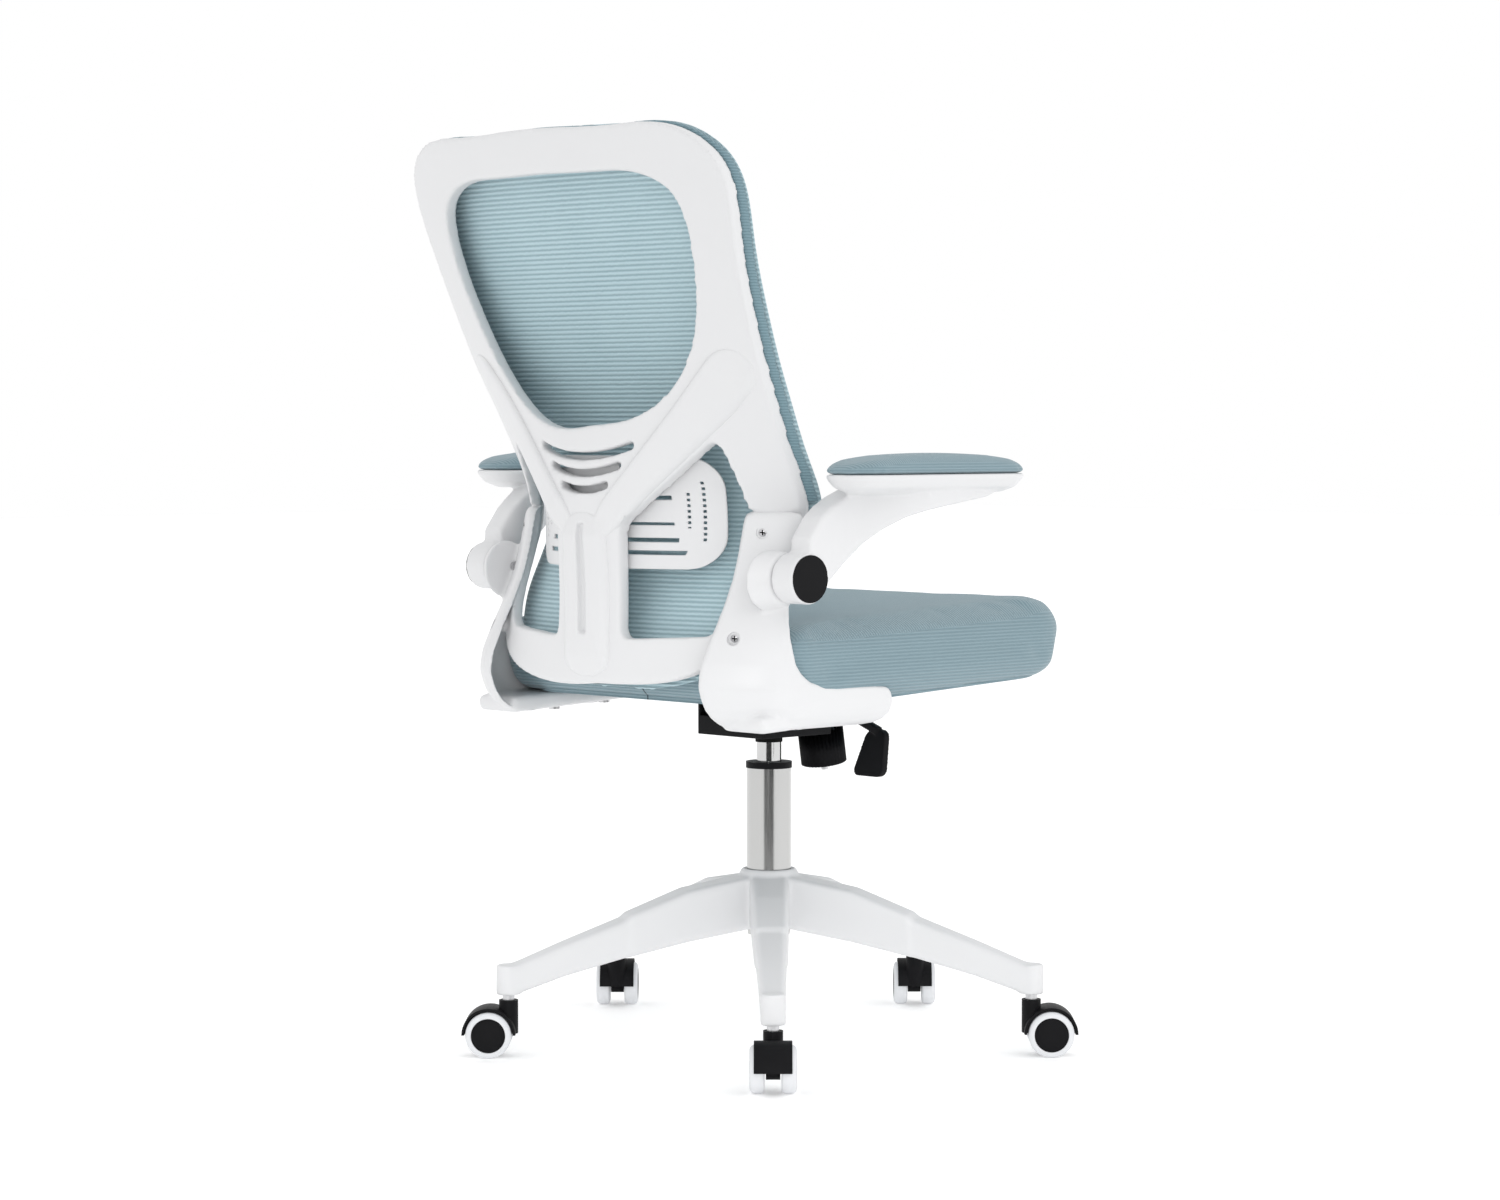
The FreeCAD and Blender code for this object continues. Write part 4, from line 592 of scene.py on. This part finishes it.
# Flip-up arms: a white bar sweeps from the hinge barrel up to a boat-shaped tray under the pad.
# The pad is foam under the seat's cloth; a black cap closes the barrel's end.
arm_cloth = ribbed_cloth("arm pad cloth", seat_thread, seat_shadow, 0.0030, 0.0004)
# Each station of an arm's bar, rear first: place, bottom, top, distance out and half width.
bar_stations = (
    (0.195, 0.512, 0.575, 0.248, 0.0150), (0.178, 0.522, 0.597, 0.248, 0.0155),
    (0.165, 0.532, 0.608, 0.249, 0.0160), (0.149, 0.549, 0.618, 0.252, 0.0170),
    (0.130, 0.568, 0.627, 0.258, 0.0185), (0.110, 0.583, 0.633, 0.266, 0.0205),
    (0.085, 0.596, 0.636, 0.275, 0.0230), (0.060, 0.603, 0.638, 0.281, 0.0250),
    (0.023, 0.609, 0.639, 0.283, 0.0250), (-0.032, 0.616, 0.640, 0.283, 0.0210),
    (-0.071, 0.628, 0.640, 0.283, 0.0130), (-0.086, 0.6345, 0.640, 0.283, 0.0070))
bar_round = 0.007
pad_width_share, pad_height_share, pad_end_drop, pad_held = 0.97, 0.94, 0.50, 0.6455
for side, hand in (("right", -1), ("left", 1)):
    bar_shape = bmesh.new()
    bmesh.ops.create_cube(bar_shape, size=0.1)
    end = min(bar_shape.faces, key=lambda face: face.calc_center_median().y)
    root = max(bar_shape.faces, key=lambda face: face.calc_center_median().y)
    for number, (along, low, high, across, half) in enumerate(bar_stations):
        if number > 1:
            end = bmesh.ops.extrude_discrete_faces(bar_shape, faces=[end])["faces"][0]
        ring = end if number else root
        middle = ring.calc_center_median()
        for corner in ring.verts:
            corner.co = (hand * across + math.copysign(half, corner.co.x - middle.x), along,
                         high if corner.co.z > middle.z else low)
    long_edges = [edge for edge in bar_shape.edges
                  if abs((edge.verts[0].co - edge.verts[1].co).normalized().x) < 0.8
                  and abs(edge.verts[0].co.y - edge.verts[1].co.y) > 0.004]
    bmesh.ops.bevel(bar_shape, geom=long_edges, offset=bar_round, affect="EDGES", segments=3, profile=0.5,
                    material=-1, clamp_overlap=True)
    bmesh.ops.recalc_face_normals(bar_shape, faces=bar_shape.faces[:])
    bar_shape.from_mesh(frame["nodes"]["arm_" + side].data)
    bmesh.ops.remove_doubles(bar_shape, verts=bar_shape.verts[:], dist=0.00002)
    arm = piece("arm_moulding_" + side, bar_shape, [white_plastic], "arm_" + side, ["arm_" + side])
    fillet(arm, 0.0018, 16)
    ease(dress("hinge_cap_" + side, black_plastic), 0.0008)
    dress("arm_pad_screws_" + side, zinc_plate)
    pad_low, pad_high = (Vector(corner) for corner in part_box("arm_pad_" + side))
    pad_middle = (pad_low + pad_high) / 2
    pad_shape = bmesh.new()
    pad_shape.from_mesh(frame["nodes"]["arm_pad_" + side].data)
    bmesh.ops.remove_doubles(pad_shape, verts=pad_shape.verts[:], dist=0.00002)
    bmesh.ops.subdivide_edges(pad_shape, edges=pad_shape.edges[:], cuts=2, use_grid_fill=True)
    for corner in pad_shape.verts:
        along = abs(corner.co.y - pad_middle.y) / (pad_high.y - pad_middle.y)
        corner.co.x = pad_middle.x + (corner.co.x - pad_middle.x) * pad_width_share
        share = pad_height_share - pad_end_drop * along ** 3
        corner.co.z = pad_low.z + (corner.co.z - pad_low.z) * share
    stuffed("arm_cushion_" + side, pad_shape, "arm_pad_" + side, arm_cloth, "arm_" + side,
            0.004, 0.003, lambda point: point.z < pad_held)

# Back frame: one large white moulding with an upper window, two lower windows and three curved slots.
# A raised spine with a long groove stands on its rear face and forks into two arms to the side rails.


def rear_face(node):
    """Depth of a solid's rear face, found by looking at it from behind."""
    data = frame["nodes"][node].data
    tree = BVHTree.FromPolygons([corner.co for corner in data.vertices],
                                [face.vertices for face in data.polygons])

    def depth(x, z):
        hit = tree.ray_cast(Vector((x, 1, z)), Vector((0, -1, 0)))[0]
        return None if hit is None else hit.y
    return depth


def raised_strip(shape, path, halves, height, depth, groove=None):
    """Rounded strip along a path on the frame's rear face; a groove has half width, ends and depth."""
    rows, columns, end_rows = 48, 44, 6
    grid = bmesh.ops.create_grid(shape, x_segments=columns, y_segments=rows, size=0.5)["verts"]
    last = depth(*path[0])
    for corner in sorted(grid, key=lambda vertex: (round(vertex.co.y, 5), abs(vertex.co.x))):
        run = (corner.co.y + 0.5) * (len(path) - 1)
        k = min(int(run), len(path) - 2)
        part = run - k
        way = (Vector(path[k + 1]) - Vector(path[k])).normalized()
        x, z = Vector(path[k]).lerp(Vector(path[k + 1]), part)
        half = halves[k] + (halves[k + 1] - halves[k]) * part
        across = 2 * corner.co.x
        end = min(corner.co.y + 0.5, 0.5 - corner.co.y) * rows
        if end < end_rows:
            half *= math.sqrt(1 - (1 - (end + 0.2) / (end_rows + 0.2)) ** 2)
        x, z = x + way.y * half * across, z - way.x * half * across
        found = depth(x, z)
        last = last if found is None else found
        rise = height * (1 - abs(across) ** 8) * min(1, (end + 0.5) / (end_rows + 1))
        if groove and abs(x) < groove[0] and groove[1] < z < groove[2]:
            rise -= groove[3]
        corner.co = (x, last + rise, z)
    made = set(grid)
    faces = [face for face in shape.faces if all(corner in made for corner in face.verts)]
    under = bmesh.ops.extrude_face_region(shape, geom=faces)["geom"]
    bmesh.ops.translate(shape, vec=(0, -height - 0.004, 0),
                        verts=[item for item in under if isinstance(item, bmesh.types.BMVert)])


# Each strip's path runs upwards on the rear face, by distance across and height.
tongue_path, tongue_height = ((0, 0.424), (0, 0.48), (0, 0.54), (0, 0.60)), 0.007
tongue_halves, tongue_groove = (0.036, 0.036, 0.036, 0.032), (0.0054, 0.470, 0.586, 0.0066)
fork_path = ((0.018, 0.575), (0.075, 0.632), (0.125, 0.680), (0.170, 0.722), (0.214, 0.764))
fork_halves, fork_height = (0.016, 0.018, 0.021, 0.024, 0.024), 0.0055
frame_depth = rear_face("back_frame")
fillet(dress("back_frame", white_plastic), 0.0024, 8)
spine_shape = bmesh.new()
raised_strip(spine_shape, tongue_path, tongue_halves, tongue_height, frame_depth, tongue_groove)
for hand in (-1, 1):
    path = [(hand * across, height) for across, height in fork_path]
    raised_strip(spine_shape, path, fork_halves, fork_height, frame_depth)
bmesh.ops.recalc_face_normals(spine_shape, faces=spine_shape.faces[:])
spine = piece("back_spine", spine_shape, [white_plastic], "seat")
fillet(spine, 0.0012, 3)

# Mesh: ribbed knitted cloth stretched over a carrier hoop, whose fabric-wrapped edge shows beside the frame.
# Pulled tight from edge to edge, it stands clear in front of the frame and the lumbar support.
mesh_cloth = ribbed_cloth("ribbed back mesh", (0.50, 0.655, 0.705), (0.17, 0.285, 0.33), 0.0050, 0.0010)
edge_cloth = ribbed_cloth("edge binding", (0.20, 0.31, 0.355), (0.10, 0.17, 0.20), 0.0030, 0.0004)
fillet(dress("mesh_carrier", edge_cloth), 0.0018, 8)
mesh_rows, mesh_columns, mesh_thickness = 150, 48, 0.0012
end_gap, side_gap, face_gap = 0.0008, 0.0002, 0.0005
mesh_depth = rear_face("back_mesh")
mesh_low, mesh_high = (Vector(corner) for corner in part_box("back_mesh"))
mesh_tall = mesh_high.z - mesh_low.z - 2 * end_gap
mesh_shape = bmesh.new()
bmesh.ops.create_grid(mesh_shape, x_segments=mesh_columns, y_segments=mesh_rows, size=0.5)
reach = {}
last_depth = {}
for corner in sorted(mesh_shape.verts, key=lambda vertex: abs(vertex.co.x)):
    level = round(corner.co.y, 5)
    height = mesh_low.z + end_gap + mesh_tall * (0.5 - 0.5 * math.cos(math.pi * (level + 0.5)))
    if level not in reach:
        inside, outside = 0.0, mesh_high.x + 0.002
        for _ in range(18):
            trial = (inside + outside) / 2
            if mesh_depth(trial, height) is None:
                outside = trial
            else:
                inside = trial
        reach[level] = inside
    x = 2 * corner.co.x * (reach[level] - side_gap)
    inward = math.copysign(1, mesh_low.z + mesh_high.z - 2 * height)
    tries = (mesh_depth(x, height + inward * step) for step in (0, 0.001, 0.003, 0.008, 0.02))
    found = next((hit for hit in tries if hit is not None), None)
    if found is None:
        found = last_depth.get((level, x > 0), mesh_high.y)
    last_depth[level, x > 0] = found
    corner.co = (x, found - face_gap, height)
mesh_area = sum(face.calc_area() for face in mesh_shape.faces)
mesh_sheet = piece("back_mesh_cloth", mesh_shape, [mesh_cloth], "seat", ["back_mesh"])
cloth_body = mesh_sheet.modifiers.new("Cloth", "SOLIDIFY")
cloth_body.thickness = mesh_thickness

# Lumbar support: a curved white plate that slides up and down on the spine's front.
# Six level slots and two upright rows of dashes are cut through each of its wings.
plate_half, plate_tall, plate_round, plate_thickness, plate_gap = 0.146, 0.060, 0.036, 0.003, 0.0016
plate_columns, plate_rows = 174, 80
# Each level slot: height from the plate's middle, and where its outer end lies.
level_slots = ((0.0485, 0.108), (0.0340, 0.097), (0.0160, 0.094),
               (-0.0120, 0.096), (-0.0287, 0.100), (-0.0433, 0.112))
slot_start, slot_half = 0.040, 0.0021
# Each upright row of dashes: distance out, lower end and upper end.
upright_rows, dash_half = ((0.110, -0.017, 0.0235), (0.1255, -0.030, 0.0360)), 0.0017
plate_low, plate_high = (Vector(corner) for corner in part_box("lumbar_support"))
plate_middle = (plate_low.z + plate_high.z) / 2
plate_depth = rear_face("lumbar_support")
samples = [(x / 1000, z / 1000) for x in range(54, 136, 6) for z in range(-42, 43, 6)]
touched = [(x, z, plate_depth(x, plate_middle + z)) for x, z in samples]
touched = [(x, z, depth) for x, z, depth in touched if depth is not None]
terms = numpy.array([(1, x ** 2, z, z ** 2) for x, z, depth in touched])
bend = numpy.linalg.lstsq(terms, numpy.array([depth for x, z, depth in touched]), rcond=None)[0]
plate_shape = bmesh.new()
bmesh.ops.create_grid(plate_shape, x_segments=plate_columns, y_segments=plate_rows, size=0.5)
cut_out = []
for face in plate_shape.faces:
    middle = face.calc_center_median()
    across, up = abs(middle.x) * 2 * plate_half, middle.y * 2 * plate_tall
    level = any(slot_start < across < end and abs(up - slot) < slot_half for slot, end in level_slots)
    dash = any(abs(across - row) < dash_half and low < up < high for row, low, high in upright_rows)
    if level or (dash and int((middle.y + 0.5) * plate_rows) % 4 < 2):
        cut_out.append(face)
bmesh.ops.delete(plate_shape, geom=cut_out, context="FACES")
for corner in plate_shape.verts:
    up = 2 * corner.co.y * plate_tall
    beyond = max(abs(up) - (plate_tall - plate_round), 0)
    half = plate_half - plate_round + math.sqrt(max(plate_round ** 2 - beyond ** 2, 0))
    x = 2 * corner.co.x * half
    depth = bend[0] + bend[1] * x ** 2 + bend[2] * up + bend[3] * up ** 2
    corner.co = (x, depth - plate_gap, plate_middle + up)
lumbar = piece("lumbar_plate", plate_shape, [white_plastic], "lumbar", ["lumbar_support"])
wall = lumbar.modifiers.new("Wall", "SOLIDIFY")
wall.thickness = plate_thickness
wall.offset = 0

# Photographer's set: white floor and surround, two large soft lights on the sitter's right and a low one
# at the base. A low black flag, seen only in reflections, gives the chromed tube its dark streak.


def staged(name, shape, material):
    """Piece of the set, which is no part of the chair."""
    mesh = bpy.data.meshes.new(name)
    shape.to_mesh(mesh)
    shape.free()
    mesh.materials.append(material)
    thing = bpy.data.objects.new(name, mesh)
    bpy.context.scene.collection.objects.link(thing)
    return thing


def aimed(name, light, spot, target):
    """Light standing at a spot and turned to face its target."""
    lamp = bpy.data.objects.new(name, light)
    lamp.location = spot
    lamp.rotation_euler = (Vector(target) - Vector(spot)).to_track_quat("-Z", "Y").to_euler()
    bpy.context.scene.collection.objects.link(lamp)


floor_white = bpy.data.materials.new("white floor")
floor_white.use_nodes = True
floor_finish = floor_white.node_tree.nodes["Principled BSDF"].inputs
floor_finish["Base Color"].default_value = (0.97, 0.97, 0.97, 1)
floor_finish["Roughness"].default_value = 0.7
floor_finish["Emission Color"].default_value = (1, 1, 1, 1)
floor_finish["Emission Strength"].default_value = 0.20
floor_shape = bmesh.new()
bmesh.ops.create_grid(floor_shape, x_segments=1, y_segments=1, size=20)
staged("floor", floor_shape, floor_white)
flag_size, flag_turn, flag_middle = (1.10, 0.50, 1), math.radians(46), (-0.863, 0.834, 0.25)
flag_black = bpy.data.materials.new("black flag")
flag_black.use_nodes = True
flag_black.node_tree.nodes["Principled BSDF"].inputs["Base Color"].default_value = (0.01, 0.01, 0.01, 1)
flag_shape = bmesh.new()
bmesh.ops.create_grid(flag_shape, x_segments=1, y_segments=1, size=0.5)
bmesh.ops.scale(flag_shape, vec=flag_size, verts=flag_shape.verts)
for turn, axis in ((math.pi / 2, "X"), (flag_turn, "Z")):
    bmesh.ops.rotate(flag_shape, cent=(0, 0, 0), matrix=Matrix.Rotation(turn, 3, axis),
                     verts=flag_shape.verts)
bmesh.ops.translate(flag_shape, vec=flag_middle, verts=flag_shape.verts)
flag = staged("flag", flag_shape, flag_black)
flag.visible_camera = False
flag.visible_diffuse = False
flag.visible_shadow = False
surround = bpy.data.worlds.new("surround")
bpy.context.scene.world = surround
surround.use_nodes = True
surround.node_tree.nodes["Background"].inputs["Color"].default_value = (1, 1, 1, 1)
for name, spot, power in (("key", (-2.6, 0.4, 2.8), 9), ("front", (-2.6, -2.2, 2.0), 8)):
    soft_light = bpy.data.lights.new(name, "AREA")
    soft_light.energy = power
    soft_light.size = 2.2
    aimed(name, soft_light, spot, (0, 0, 0.5))
low_light = bpy.data.lights.new("low light", "SPOT")
low_light.energy = 430
low_light.spot_size = math.radians(10.5)
low_light.spot_blend = 1
low_light.shadow_soft_size = 0.5
aimed("low light", low_light, (-3.2, 3.3, 0.9), (0, 0, 0.02))
bpy.context.scene.view_settings.view_transform = "Standard"

# Camera: behind the chair on the sitter's right, a little above the seat, with a long lens.
# Its place and lens were fitted to details of the photograph.
camera_data = bpy.data.cameras.new("camera")
camera_data.sensor_width = 36
camera_data.lens = 87.94
camera = bpy.data.objects.new("camera", camera_data)
camera.location = (-2.9436, 2.8459, 0.6933)
heading, pitch = math.radians(225.92) + 0.006, 0.048
camera.rotation_euler = (math.pi / 2 - pitch, 0, heading)
bpy.context.scene.collection.objects.link(camera)
bpy.context.scene.camera = camera
